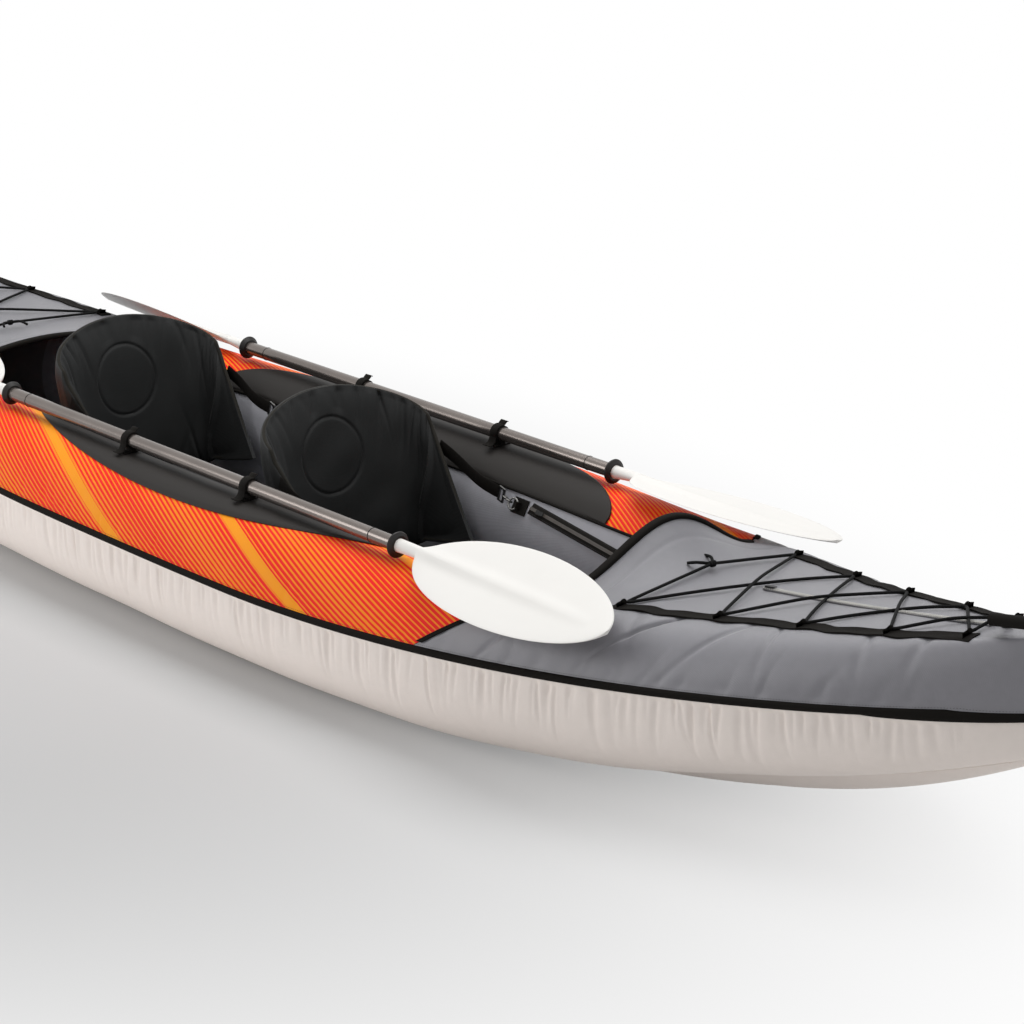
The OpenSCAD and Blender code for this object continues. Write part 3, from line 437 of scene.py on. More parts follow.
def mix_colour(tree, fac, first, second):
    node = add(tree, "ShaderNodeMix", data_type="RGBA")
    for label, kind, value in (("Factor", "VALUE", fac), ("A", "RGBA", first), ("B", "RGBA", second)):
        feed(tree, next(s for s in node.inputs if (s.name, s.type) == (label, kind)), value)
    return next(s for s in node.outputs if s.type == "RGBA")


print("node helpers ready")

# %% Shader groups
SOCKET_KINDS = {"vector": "NodeSocketVector", "number": "NodeSocketFloat"}
SLUB_SCALE, BROAD_SCALE = 60.0, 9.0
SOIL_RANGE = (0.35, 0.75)


def group(name, scale_label, scale, outputs):
    """A shader group that takes a place on the surface and a scale."""
    tree = bpy.data.node_groups.new(name, "ShaderNodeTree")
    tree.interface.new_socket("Vector", in_out="INPUT", socket_type=SOCKET_KINDS["vector"])
    socket = tree.interface.new_socket(scale_label, in_out="INPUT", socket_type=SOCKET_KINDS["number"])
    socket.default_value = scale
    for label in outputs:
        tree.interface.new_socket(label, in_out="OUTPUT", socket_type=SOCKET_KINDS["number"])
    inlet, outlet = tree.nodes.new("NodeGroupInput"), tree.nodes.new("NodeGroupOutput")
    return tree, inlet.outputs["Vector"], inlet.outputs[scale_label], outlet.inputs


def woven_group():
    tree, place, threads, out = group("woven_cloth", "Threads", 600.0, ("Height", "Tone"))
    waves = [
        add(tree, "ShaderNodeTexWave", {"Vector": place, "Scale": threads},
            wave_type="BANDS", bands_direction=direction).outputs["Fac"]
        for direction in ("X", "Y")
    ]
    tree.links.new(maths(tree, "MAXIMUM", *waves), out["Height"])
    tree.links.new(noise(tree, place, SLUB_SCALE, 4.0), out["Tone"])
    return tree


def soil_group():
    tree, place, scale, out = group("soft_soiling", "Scale", 3.0, ("Mask",))
    tree.links.new(scaled(tree, noise(tree, place, scale, 6.0, 0.6), (0.0, 1.0), SOIL_RANGE), out["Mask"])
    return tree


def grain_group():
    tree, place, scale, out = group("moulded_grain", "Scale", 900.0, ("Height", "Tone"))
    tree.links.new(noise(tree, place, scale, 2.0), out["Height"])
    tree.links.new(noise(tree, place, BROAD_SCALE, 5.0), out["Tone"])
    return tree


weave_tree, soil_tree, grain_tree = woven_group(), soil_group(), grain_group()
print("shader groups:", [g.name for g in bpy.data.node_groups])

# %% Kinds of finish
CLOTH_THREADS, CLOTH_BUMP, SOIL_SCALE = 220.0, 0.0004, 4.0
CLOTH_SPREAD, PLASTIC_SPREAD = 0.08, 0.07
SHEEN_ROUGH, CLOTH_BUMP_SHARE, GRAIN_BUMP_SHARE = 0.4, 0.5, 0.3


def start_finish(name, coords="Object"):
    mat = bpy.data.materials.new(name)
    mat.use_nodes = True
    tree = mat.node_tree
    place = tree.nodes.new("ShaderNodeTexCoord").outputs[coords]
    return mat, tree, tree.nodes["Principled BSDF"], place


def use_group(tree, made, **links):
    return add(tree, "ShaderNodeGroup", links, node_tree=made).outputs


def bump_into(tree, shader, height, distance, strength=CLOTH_BUMP_SHARE):
    bump = add(tree, "ShaderNodeBump", {"Height": height, "Strength": strength, "Distance": distance})
    tree.links.new(bump.outputs["Normal"], shader.inputs["Normal"])


def cloth_finish(name, light, dark, rough, threads=CLOTH_THREADS, sheen=0.0, bump=CLOTH_BUMP,
                 soil=0.2, specular=0.25):
    mat, tree, shader, place = start_finish(name)
    cloth = use_group(tree, weave_tree, Vector=place, Threads=threads)
    dirt = use_group(tree, soil_tree, Vector=place, Scale=SOIL_SCALE)
    base = mix_colour(tree, cloth["Tone"], linear(dark), linear(light))
    worn = mix_colour(tree, scaled(tree, dirt["Mask"], (0.0, soil)), base, linear(dark))
    uneven = scaled(tree, cloth["Tone"], (rough - CLOTH_SPREAD, rough + CLOTH_SPREAD))
    tree.links.new(worn, shader.inputs["Base Color"])
    tree.links.new(uneven, shader.inputs["Roughness"])
    shader.inputs["Sheen Weight"].default_value = sheen
    shader.inputs["Sheen Roughness"].default_value = SHEEN_ROUGH
    shader.inputs["Specular IOR Level"].default_value = specular
    bump_into(tree, shader, cloth["Height"], bump)
    return mat


def plastic_finish(name, light, dark, rough, grain=900.0, bump=0.0002, metallic=0.0, specular=0.5):
    mat, tree, shader, place = start_finish(name)
    grained = use_group(tree, grain_tree, Vector=place, Scale=grain)
    base = mix_colour(tree, grained["Tone"], linear(dark), linear(light))
    uneven = scaled(tree, grained["Tone"], (rough - PLASTIC_SPREAD, rough + PLASTIC_SPREAD))
    tree.links.new(base, shader.inputs["Base Color"])
    tree.links.new(uneven, shader.inputs["Roughness"])
    shader.inputs["Metallic"].default_value = metallic
    shader.inputs["Specular IOR Level"].default_value = specular
    bump_into(tree, shader, grained["Height"], bump, GRAIN_BUMP_SHARE)
    return mat


print("kinds of finish: cloth and plastic")

# %% [markdown]
# Each finish below has a light and a dark tone, which the noise mixes, and a roughness. One colour a
# material would do from afar, but real cloth and plastic are never that even close up.

# %% Cloths
white_cloth = cloth_finish("white_hull_cloth", (244, 234, 227), (238, 228, 221), 0.5,
                           bump=0.0002, soil=0.05)
deck_cloth = cloth_finish("grey_deck_cloth", (121, 120, 126), (110, 109, 115), 0.42,
                          sheen=0.4, soil=0.12, specular=0.75)
wall_cloth = cloth_finish("grey_wall_cloth", (164, 164, 170), (150, 150, 156), 0.5,
                          soil=0.12, specular=0.4)
floor_cloth = cloth_finish("floor_mat_cloth", (70, 72, 79), (52, 54, 60), 0.6)
tape_cloth = cloth_finish("dark_tape", (29, 27, 24), (18, 16, 15), 0.85,
                          threads=260.0, bump=0.0003, specular=0.08)
seat_cloth = cloth_finish("black_seat_cloth", (30, 31, 31), (21, 22, 22), 0.6,
                          threads=260.0, sheen=0.06, bump=0.0002)
seat_tape = cloth_finish("seat_edge_tape", (46, 44, 39), (34, 32, 29), 0.75,
                         threads=260.0, specular=0.12)
deck_tape = cloth_finish("deck_zip_tape", (96, 95, 98), (80, 79, 82), 0.7, threads=260.0)
print("cloths made, from", white_cloth.name, "to", deck_tape.name)

# %% Plastics and metals
patch_rubber = plastic_finish("smooth_patch_rubber", (44, 41, 39), (34, 32, 30), 0.55, specular=0.15)
moulded_black = plastic_finish("moulded_black", (32, 32, 32), (22, 22, 22), 0.5, specular=0.25)
ring_rubber = plastic_finish("drip_ring_rubber", (34, 32, 31), (22, 21, 20), 0.45, specular=0.3)
blade_white = plastic_finish("white_blade_plastic", (238, 236, 232), (232, 230, 226), 0.4,
                             grain=700.0, bump=0.0001, specular=0.25)
dark_metal = plastic_finish("dark_shaft_metal", (126, 118, 113), (108, 101, 97), 0.22,
                            grain=1500.0, bump=0.00005, metallic=0.75)
wire_steel = plastic_finish("plated_wire", (120, 119, 117), (84, 83, 82), 0.28,
                            grain=1200.0, bump=0.00005, metallic=1.0)
bladder_film = plastic_finish("bladder_film", (136, 136, 138), (122, 122, 124), 0.35)
deck_tooth = plastic_finish("zip_tooth", (222, 220, 214), (190, 188, 183), 0.4)
wall_tooth = plastic_finish("dark_zip_tooth", (96, 90, 84), (70, 66, 62), 0.45)
thread = plastic_finish("sewing_thread", (60, 58, 57), (44, 42, 42), 0.7)
seat_thread = plastic_finish("seat_thread", (24, 24, 25), (14, 14, 15), 0.65)
print("plastics and metals made, from", patch_rubber.name, "to", seat_thread.name)

# %% [markdown]
# The side covers are printed in red and orange. The print here is a plain design: slanted pin stripes
# that swell and thin along the boat, with a few solid orange bands. An image could carry it, but
# stripes worked out by nodes stay sharp at any distance. They are laid on the cloth's own UV map, in
# metres, so they follow the panel round the tube.

# %% Printed finish
PRINT_RED, PRINT_DEEP = (252, 34, 30), (242, 28, 26)
PRINT_ORANGE, BAND_ORANGE = (255, 148, 26), (254, 158, 26)
STRIPE_LEAN, PRINT_SOIL_SCALE = -2.4, 2.0
PIN_PITCH, SWELL_PITCH, BAND_PITCH = 0.024, 0.42, 0.62
PIN_SHARE, PIN_SOFT, PIN_INK = (0.13, 0.43), 0.05, 0.95
BAND_EDGE = (0.455, 0.457)
PRINT_ROUGH, PRINT_SPECULAR = (0.42, 0.56), 0.15


def stripes(tree, lean, pitch):
    """0 at the middle of each pitch, 0.5 at its ends."""
    part = maths(tree, "FRACT", maths(tree, "DIVIDE", lean, pitch))
    return maths(tree, "ABSOLUTE", maths(tree, "SUBTRACT", part, 0.5))


def printed_finish():
    mat, tree, shader, place = start_finish("printed_side_cloth", "UV")
    split = add(tree, "ShaderNodeSeparateXYZ", {"Vector": place}).outputs
    lean = maths(tree, "MULTIPLY_ADD", split["Y"], STRIPE_LEAN, split["X"])
    swell = scaled(tree, stripes(tree, lean, SWELL_PITCH), PIN_SHARE)
    edge = maths(tree, "SUBTRACT", stripes(tree, lean, PIN_PITCH), swell)
    pins = scaled(tree, edge, (PIN_INK, 0.0), (-PIN_SOFT, PIN_SOFT))
    bands = scaled(tree, stripes(tree, lean, BAND_PITCH), (0.0, 1.0), BAND_EDGE)
    tone = use_group(tree, soil_tree, Vector=place, Scale=PRINT_SOIL_SCALE)["Mask"]
    ground = mix_colour(tree, tone, linear(PRINT_RED), linear(PRINT_DEEP))
    striped = mix_colour(tree, pins, ground, linear(PRINT_ORANGE))
    banded = mix_colour(tree, bands, striped, linear(BAND_ORANGE))
    cloth = use_group(tree, weave_tree, Vector=place, Threads=CLOTH_THREADS)
    tree.links.new(banded, shader.inputs["Base Color"])
    tree.links.new(scaled(tree, cloth["Tone"], PRINT_ROUGH), shader.inputs["Roughness"])
    shader.inputs["Specular IOR Level"].default_value = PRINT_SPECULAR
    bump_into(tree, shader, cloth["Height"], CLOTH_BUMP)
    return mat


print_cloth = printed_finish()
print("printed finish:", print_cloth.name)

# %% [markdown]
# ## Folds in the cloth
# Where a seam gathers the cover, short creases run away from it, and a stretched panel has slow
# waves. A cloth simulation could make them, but it would be slow on four metres of boat. So each
# crease is a narrow dent with its own place, depth and length, drawn from a seeded table, and every
# run gives the same cloth.

# %% Creases and ripples
CREASE_JITTER = 0.45
CREASE_DEPTHS, CREASE_WIDTHS, CREASE_REACHES = (0.25, 1.0), (0.6, 1.5), (0.4, 1.3)
RIPPLE_COUNT, RIPPLE_LENGTHS = 10, (0.6, 1.8)


def ramp(v):
    return np.clip(v, 0, 1)


def creases(x, from_seam, seed, span, every, deep, wide, long, slant=0.25):
    """Dents along a seam, in metres, to add to a panel's distance from its tube."""
    rng = np.random.default_rng(seed)
    count = int((span[1] - span[0]) / every)
    place = span[0] + (np.arange(count) + rng.uniform(-CREASE_JITTER, CREASE_JITTER, count)) * every
    strength = deep * rng.uniform(*CREASE_DEPTHS, count)
    width = wide * rng.uniform(*CREASE_WIDTHS, count)
    reach = long * rng.uniform(*CREASE_REACHES, count)
    lean = rng.normal(0, slant, count)
    total = np.zeros(np.broadcast(x, from_seam).shape)
    for k in range(count):
        off = (x - place[k] - lean[k] * from_seam) / width[k]
        total -= strength[k] * np.exp(-off * off) * np.exp(-(from_seam / reach[k]) ** 2)
    return total


def ripples(x, y, seed, wave, height):
    """Slow waves in all directions, in metres."""
    rng = np.random.default_rng(seed)
    total = np.zeros(np.broadcast(x, y).shape)
    for _ in range(RIPPLE_COUNT):
        turn, phase = rng.uniform(0, np.pi), rng.uniform(0, 2 * np.pi)
        length = wave * rng.uniform(*RIPPLE_LENGTHS)
        total += np.sin(2 * np.pi * (x * np.cos(turn) + y * np.sin(turn)) / length + phase)
    return height * total / math.sqrt(RIPPLE_COUNT)


print("creases and ripples ready")

# %% [markdown]
# ## The white lower hull
# The lower hull is one coated cloth from the piping down and under. It could be a single sheet, but
# it is made as three shells, like the CAD panels: two chines that curve under the tubes, and the
# bottom between them. The gathers below the piping are dents in the mesh and not a bump map, because
# they catch the light and show at the edge.

# %% Lower hull
SKIN_T = 0.002
STATIONS, END_CROWD = 1601, 0.9
CHINE_ROWS, ROW_CROWD, CHINE_GIRTH = 25, 1.4, 1.25
BOTTOM_COLS, BOTTOM_FLAT, BOTTOM_SHARE = 41, 0.6, 0.985
KEEL_ANGLE, WELT_END, WELT_OUT, KEEL_WELT_R = -88.0, 2.08, 0.0012, 0.0026
along_hull = HALF_LEN * np.sin(END_CROWD * np.linspace(-1, 1, STATIONS)) / math.sin(END_CROWD)


def tube_sheet(x, angle, out, side):
    """Face and back of a cloth on a tube: the face has the folds, the back stays under them."""
    back = tube_point(x, angle, np.minimum(out, 0) - SKIN_T, side)
    return tube_point(x, angle, out, side), back


def chine_shell(side):
    x = along_hull[:, None]
    t = 1 - np.linspace(1, 0, CHINE_ROWS)[None] ** ROW_CROWD
    angle = lerp(-90.0, piping_low(x), t)
    down = (1 - t) * (piping_z(x) - low_z(x)) * CHINE_GIRTH
    fine = creases(x, down, 11 + side, span=(-2.05, 2.05), every=0.021,
                   deep=0.0068, wide=0.0052, long=0.052, slant=0.1)
    broad = creases(x, down, 31 + side, span=(-2.0, 2.0), every=0.085,
                    deep=0.0040, wide=0.011, long=0.085, slant=0.15)
    soft = ripples(x, down, 5 + side, wave=0.5, height=0.0012)
    hold = ramp((1 - t) * 25) * ramp(t * 6) * ramp((HALF_LEN - np.abs(x)) / 0.25)
    face, back = tube_sheet(x, angle, (fine + broad + soft) * hold, side)
    obj = shell("lower_hull_" + SIDES[side], face, back, white_cloth, stacked(x, down))
    return on_hull(obj, ["chine_panel_" + SIDES[side]])


def bottom_shell():
    x = along_hull[::4, None]
    q = np.linspace(-1, 1, BOTTOM_COLS)[None]
    lift = ramp((np.abs(q) - BOTTOM_FLAT) / (1 - BOTTOM_FLAT)) ** 2
    y = q * BOTTOM_SHARE * crest_y(x)
    under = stacked(x, y, lerp(keel_z(x), low_z(x), lift))
    upper = under + np.array([0, 0, SKIN_T])
    obj = shell("hull_bottom", under, upper, white_cloth, stacked(x, y))
    return on_hull(obj, ["bottom_panel"])


def keel_welt(side):
    """The welded lip where a chine meets the bottom."""
    x = np.linspace(-WELT_END, WELT_END, 420)
    path = tube_point(x, KEEL_ANGLE, WELT_OUT, side)
    obj = swept("keel_welt_" + SIDES[side], path, disc_outline(KEEL_WELT_R, 8), (0, 0, 1), white_cloth)
    return on_hull(obj)


for side in SIDES:
    chine_shell(side)
    keel_welt(side)
bottom_shell()
print("lower hull made from", STATIONS, "stations")

# %% [markdown]
# ## The printed side covers, the inner walls and the air chambers
# The side cover goes from the piping over the tube to a seam just inside the crest, and its ends
# lean where the grey decks begin. The grey wall takes over at the seam and goes down to the floor.
# Each could be cut from one long tube with a knife tool, but a grid that starts and stops at the
# seams gives clean edges for the tapes. The air chamber fills the tube behind them.

# %% Side covers
COVER_GAP, BINDING_D, COVER_LAP = 0.001, 0.012, 0.010
SEAM_HALF, COVER_GIRTH = 0.3, 0.30


def side_end(end, t):
    """Where a side cover ends, with t from the piping up to the wall seam."""
    share = t * (WALL_SEAM - SEAM_HALF) / SHOULDER
    past = DECK_EDGE[end] - BINDING_D - COVER_LAP
    return np.where(share <= 1, trim_x(end, np.minimum(share, 1)) - COVER_GAP, past)


def side_shell(side):
    u = np.linspace(-1, 1, 361)[:, None]
    t = np.linspace(0, 1, 49)[None]
    x = np.where(u >= 0, u * side_end(BOW, t), u * side_end(STERN, t))
    angle = lerp(piping_high(x), WALL_SEAM - SEAM_HALF, t)
    up = t * COVER_GIRTH
    gather = creases(x, up, 31 + side, span=(-1.1, 1.1), every=0.030, deep=0.0016, wide=0.007, long=0.050)
    soft = ripples(x, up, 17 + side, wave=0.4, height=0.0007)
    face, back = tube_sheet(x, angle, (gather + soft) * ramp(t * 30) * ramp((1 - t) * 12), side)
    obj = shell("printed_side_" + SIDES[side], face, back, print_cloth, stacked(side * x, up))
    return on_hull(obj, ["side_cover_" + SIDES[side]])


print("side covers run from", -DECK_EDGE[STERN], "to", DECK_EDGE[BOW], "m at most")

# %% Walls and air chambers
WALL_ENDS, WALL_FOOT, WALL_GIRTH = (-1.194, 1.364), 212.0, 0.20
CHAMBER_IN = -0.011


def wall_shell(side):
    x = np.linspace(*WALL_ENDS, 260)[:, None]
    t = np.linspace(0, 1, 36)[None]
    angle = lerp(WALL_SEAM + SEAM_HALF, WALL_FOOT, t)
    down = t * WALL_GIRTH
    gather = creases(x, down, 51 + side, span=(-1.1, 1.3), every=0.05, deep=0.0016, wide=0.012, long=0.06)
    soft = ripples(x, down, 8 + side, wave=0.35, height=0.0006)
    face, back = tube_sheet(x, angle, (gather + soft) * ramp(t * 12) * ramp((1 - t) * 12), side)
    obj = shell("cockpit_wall_" + SIDES[side], face, back, wall_cloth, stacked(x, down))
    return on_hull(obj, ["inner_wall_" + SIDES[side]])


def bladder(side):
    x = (HALF_LEN * np.sin(np.radians(90 * np.linspace(-13, 13, 105) / 16)))[:, None]
    angle = np.linspace(-90, 270, 49)[None, :-1]
    obj = loft("air_chamber_" + SIDES[side], tube_point(x, angle, CHAMBER_IN, side), bladder_film)
    return on_hull(obj, ["side_bladder_" + SIDES[side]])


for side in SIDES:
    side_shell(side)
    wall_shell(side)
    bladder(side)
print("side covers, walls and air chambers made")

# %% [markdown]
# ## The decks
# A deck is one cloth from the piping on one side, over the crest, across and down to the other
# piping. Its sides lie on the tubes and its top hangs between them, so the grid is made in three
# parts and joined before it becomes a mesh, which leaves no seam in the shading. The lacing pulls
# the cloth down, so long creases run from the webbing down the sides.

# %% Decks
DECK_ROWS, SIDE_COLS, TOP_COLS = 261, 29, 97
SIDE_GIRTH, TOP_GIRTH = 0.17, 0.25
DECK_SEAM, SEAM_DEEP, SEAM_WIDE = 0.064, 0.0018, 0.0035


def deck_side(end, side, u):
    t = np.linspace(0, 1, SIDE_COLS)[None]
    far = lerp(trim_x(end, t) + COVER_GAP, HALF_LEN, u)
    angle = lerp(piping_high(end * far), SHOULDER, t)
    up = t * SIDE_GIRTH
    low = creases(far, up, 71 + side + 2 * end, span=(0.95, 2.1), every=0.036,
                  deep=0.0030, wide=0.009, long=0.06)
    high = creases(far, SIDE_GIRTH - up, 83 + side + 2 * end, span=(1.2, 2.1), every=0.12,
                   deep=0.0100, wide=0.0085, long=0.16, slant=0.5)
    soft = ripples(far, up, 3 + side, wave=0.3, height=0.0012)
    hold = ramp(t * 20) * ramp((1 - t) * 6) * ramp((HALF_LEN - far) / 0.2)
    uv = stacked(far, side * (TOP_GIRTH + SIDE_GIRTH - up))
    return *tube_sheet(end * far, angle, (low + high + soft) * hold, side), uv


def deck_top(end, u):
    q = np.linspace(-1, 1, TOP_COLS)[None]
    start = np.where(np.abs(q) == 1, trim_x(end, 1.0) + COVER_GAP, edge_x(end, q))
    far = lerp(start, HALF_LEN, u)
    x = end * far
    y = q * crest_y(x)
    dent = -SEAM_DEEP * np.exp(-((far - DECK_EDGE[end] - DECK_SEAM) / SEAM_WIDE) ** 2)
    soft = ripples(far, y, 23 + end, wave=0.22, height=0.0014) * ramp((1 - np.abs(q)) * 5)
    out = (soft + dent) * ramp((far - start) / 0.02) * ramp((HALF_LEN - far) / 0.3)
    z = deck_z(end, x, y)
    return stacked(x, y, z + out), stacked(x, y, z + np.minimum(out, 0) - SKIN_T), stacked(far, y)


def deck_shell(end):
    u = np.linspace(0, 1, DECK_ROWS)[:, None]
    parts = zip(deck_side(end, STARBOARD, u), deck_top(end, u), deck_side(end, PORT, u))
    face, back, uv = (
        np.concatenate([near[:, :-1], top, far[:, ::-1][:, 1:]], 1) for near, top, far in parts
    )
    obj = shell(ENDS[end] + "_deck_cloth", face, back, deck_cloth, uv)
    return on_hull(obj, [ENDS[end] + "_deck"])


for end in ENDS:
    deck_shell(end)
print("decks made, each", DECK_ROWS, "rows long")

# %% [markdown]
# ## Piping, bindings, trims and patches
# Dark tape closes every seam. The piping is a cord in a folded tape, the cockpit edges have a
# rounded binding, and a smooth rubber patch guards each gunwale where paddles rub. A dark band in
# the cloth's colour would look painted on, so each tape is a piece of its own that stands proud.

# %% Piping and bindings
# The piping's section: places across it, as shares of its half width, and how far each stands out.
PIPING_OUTLINE = [(-1, -0.0015), (-1, 0.0012), (-0.8, 0.0032), (-0.45, 0.0049), (0, 0.0055),
                  (0.45, 0.0049), (0.8, 0.0032), (1, 0.0012), (1, -0.0015)]
BINDING_REACH, BINDING_SET, BINDING_SQUARE = 0.93, 0.004, 2.6
BINDING_HALF_W, BINDING_HALF_T = 0.0102, 0.0056


def piping(side):
    x = along_hull[::4]
    z = piping_z(x)
    rings = np.stack([
        tube_point(x, angle_at(x, z + k * (PIPING_W / 2)), out, side) for k, out in PIPING_OUTLINE
    ], 1)
    uv = stacked(x[:, None], np.linspace(0, 0.02, len(PIPING_OUTLINE))[None])
    obj = loft("hull_piping_" + SIDES[side], rings, tape_cloth, uv)
    return on_hull(obj, ["hull_piping"])


def edge_binding(end):
    q = BINDING_REACH * np.linspace(-1, 1, 81)
    x = edge_x(end, q)
    y = q * crest_y(x)
    path = np.stack([end * (x - BINDING_D / 2 + BINDING_SET), y, deck_z(end, x, y) - SKIN_T / 2], -1)
    turn = circle_turns(16)
    outline = np.stack([
        BINDING_HALF_W * signed_power(np.cos(turn), BINDING_SQUARE),
        BINDING_HALF_T * signed_power(np.sin(turn), BINDING_SQUARE),
    ], -1)
    obj = swept(ENDS[end] + "_edge_binding", path, outline, (0, 0, 1), tape_cloth)
    return on_hull(obj, ["deck_bindings"])


for side in SIDES:
    piping(side)
print("piping made with", len(PIPING_OUTLINE), "points round")

# %% Trims, patches and welts
LAY, TAPE_T, TAPE_SINK, TAPE_EDGE = 0.0009, 0.0015, 0.0006, 0.35
PATCH_ENDS, PATCH_LOW, PATCH_PROUD = (-0.585, 0.775), 60.0, 0.0043
PATCH_GAP, PATCH_TIP, PATCH_ROUND = 0.8, 6, 0.6
WALL_WELT_ENDS, WALL_WELT_R = (-0.96, 1.17), 0.0034
UV_RADIUS = 0.14


def tube_patch(name, x, angle, side, finish, replaces, high=LAY + TAPE_T):
    """A thin patch on a tube, thinner at its edges."""
    edge = np.ones(np.broadcast(x, angle).shape)
    edge[0] = edge[-1] = edge[:, 0] = edge[:, -1] = TAPE_EDGE
    face = tube_point(x, angle, lerp(LAY, high, edge), side)
    back = tube_point(x, angle, np.full(edge.shape, LAY - TAPE_SINK), side)
    rows = path_length(face[:, face.shape[1] // 2])[:, None]
    uv = stacked(rows, np.radians(angle + 0 * edge) * UV_RADIUS)
    return on_hull(shell(name, face, back, finish, uv), replaces)


def seam_trim(end, side):
    t = np.linspace(0.04, 0.96, 40)[:, None]
    middle = end * trim_x(end, t)
    w = np.linspace(-0.5, 0.5, 9)[None] * TRIM_W
    angle = lerp(piping_high(middle), SHOULDER, t)
    name = "%s_trim_%s" % (ENDS[end], SIDES[side])
    return tube_patch(name, middle + w, angle, side, tape_cloth, ["panel_trims"])


def gunwale_patch(side):
    u = (1 - np.cos(np.pi * np.linspace(0, 1, 161)[:, None])) / 2
    x = lerp(*PATCH_ENDS, u)
    swell = np.clip(1 - (2 * u - 1) ** 2, 0, None) ** PATCH_ROUND
    high = WALL_SEAM - PATCH_GAP
    angle = lerp(lerp(high - PATCH_TIP, PATCH_LOW, swell), high, np.linspace(0, 1, 25)[None])
    return tube_patch("gunwale_guard_" + SIDES[side], x + 0 * angle, angle, side, patch_rubber,
                      ["gunwale_patch_" + SIDES[side]], high=PATCH_PROUD)


def tube_line(x, angle, out, side):
    """A path on a tube, with the directions that point away from the tube's middle."""
    path = tube_point(x, angle, out, side)
    return path, path - np.stack([x, side * crest_y(x), mid_z(x)], -1)


def wall_welt(side):
    path, away = tube_line(np.linspace(*WALL_WELT_ENDS, 200), WALL_SEAM, WELT_OUT, side)
    obj = swept("wall_welt_" + SIDES[side], path, disc_outline(WALL_WELT_R, 8), away, tape_cloth)
    return on_hull(obj)


for end in ENDS:
    edge_binding(end)
    for side in SIDES:
        seam_trim(end, side)
for side in SIDES:
    gunwale_patch(side)
    wall_welt(side)
print("bindings, trims, patches and welts made")

# %% [markdown]
# ## Rows of stitches and teeth
# Stitches and zip teeth repeat along a line. Copying objects by hand or with an Array modifier would
# not follow the curved cloth, so one Geometry Nodes tree makes them: it turns a line of edges into a
# curve, spaces points along it, turns a small part to follow the line and the surface, and realizes
# the copies. The line carries an "up" vector for the surface.

# %% Row trees
ROW_INPUTS = {"Line": "NodeSocketGeometry", "Pitch": "NodeSocketFloat",
              "Size": "NodeSocketVector", "Material": "NodeSocketMaterial"}


def row_tree(name, part_kind, part_sizes):
    tree = bpy.data.node_groups.new(name, "GeometryNodeTree")
    sockets = {
        label: tree.interface.new_socket(label, in_out="INPUT", socket_type=kind).identifier
        for label, kind in ROW_INPUTS.items()
    }
    tree.interface.new_socket("Row", in_out="OUTPUT", socket_type="NodeSocketGeometry")
    inlet, outlet = tree.nodes.new("NodeGroupInput"), tree.nodes.new("NodeGroupOutput")
    curve = add(tree, "GeometryNodeMeshToCurve", {"Mesh": inlet.outputs["Line"]})
    spaced = add(tree, "GeometryNodeResampleCurve",
                 {"Curve": curve.outputs[0], "Length": inlet.outputs["Pitch"]}, mode="LENGTH")
    tangent = tree.nodes.new("GeometryNodeInputTangent")
    facing = add(tree, "GeometryNodeInputNamedAttribute", {"Name": "up"}, data_type="FLOAT_VECTOR")
    first = add(tree, "FunctionNodeAlignRotationToVector", {"Vector": tangent.outputs[0]}, axis="X")
    turned = add(tree, "FunctionNodeAlignRotationToVector",
                 {"Rotation": first.outputs[0], "Vector": facing.outputs["Attribute"]},
                 axis="Z", pivot_axis="X")
    part = add(tree, part_kind, part_sizes)
    copies = add(tree, "GeometryNodeInstanceOnPoints",
                 {"Points": spaced.outputs[0], "Instance": part.outputs["Mesh"],
                  "Rotation": turned.outputs[0], "Scale": inlet.outputs["Size"]})
    real = add(tree, "GeometryNodeRealizeInstances", {"Geometry": copies.outputs[0]})
    dressed = add(tree, "GeometryNodeSetMaterial",
                  {"Geometry": real.outputs[0], "Material": inlet.outputs["Material"]})
    tree.links.new(dressed.outputs[0], outlet.inputs["Row"])
    return tree, sockets


STITCH_ROW = row_tree("row_of_stitches", "GeometryNodeMeshUVSphere",
                      {"Segments": 6, "Rings": 4, "Radius": 0.5})
BLOCK_ROW = row_tree("row_of_blocks", "GeometryNodeMeshCube", {"Size": (1, 1, 1)})
print("row trees:", STITCH_ROW[0].name, BLOCK_ROW[0].name)


# %% Rows as plain meshes
def row_line(name, lines):
    """One mesh of edges from a list of (path, up) pairs."""
    points, ups, edges = [], [], []
    for path, up in lines:
        start = len(points)
        points += path.tolist()
        ups += np.broadcast_to(up, path.shape).tolist()
        edges += [(start + k, start + k + 1) for k in range(len(path) - 1)]
    line = bpy.data.meshes.new(name + "_line")
    line.from_pydata(points, edges, [])
    attribute = line.attributes.new("up", "FLOAT_VECTOR", "POINT")
    attribute.data.foreach_set("vector", np.array(ups, np.float32).ravel())
    return line


def row(name, made, lines, pitch, size, finish):
    tree, sockets = made
    carrier = bpy.data.objects.new(name + "_line", row_line(name, lines))
    scene.collection.objects.link(carrier)
    modifier = carrier.modifiers.new("row", "NODES")
    modifier.node_group = tree
    modifier[sockets["Pitch"]] = pitch
    modifier[sockets["Size"]] = size
    modifier[sockets["Material"]] = finish
    ready = carrier.evaluated_get(bpy.context.evaluated_depsgraph_get())
    mesh = bpy.data.meshes.new_from_object(ready)
    mesh.name = name
    if not mesh.materials:
        mesh.materials.append(finish)
    bpy.data.objects.remove(carrier)
    obj = bpy.data.objects.new(name, mesh)
    scene.collection.objects.link(obj)
    return obj


print("rows become plain meshes")

# %% [markdown]
# A line of stitches runs above the piping on each side. A dashed line in the material would do from
# afar, but real stitches catch light close up, so the row tree sets them along the seam.

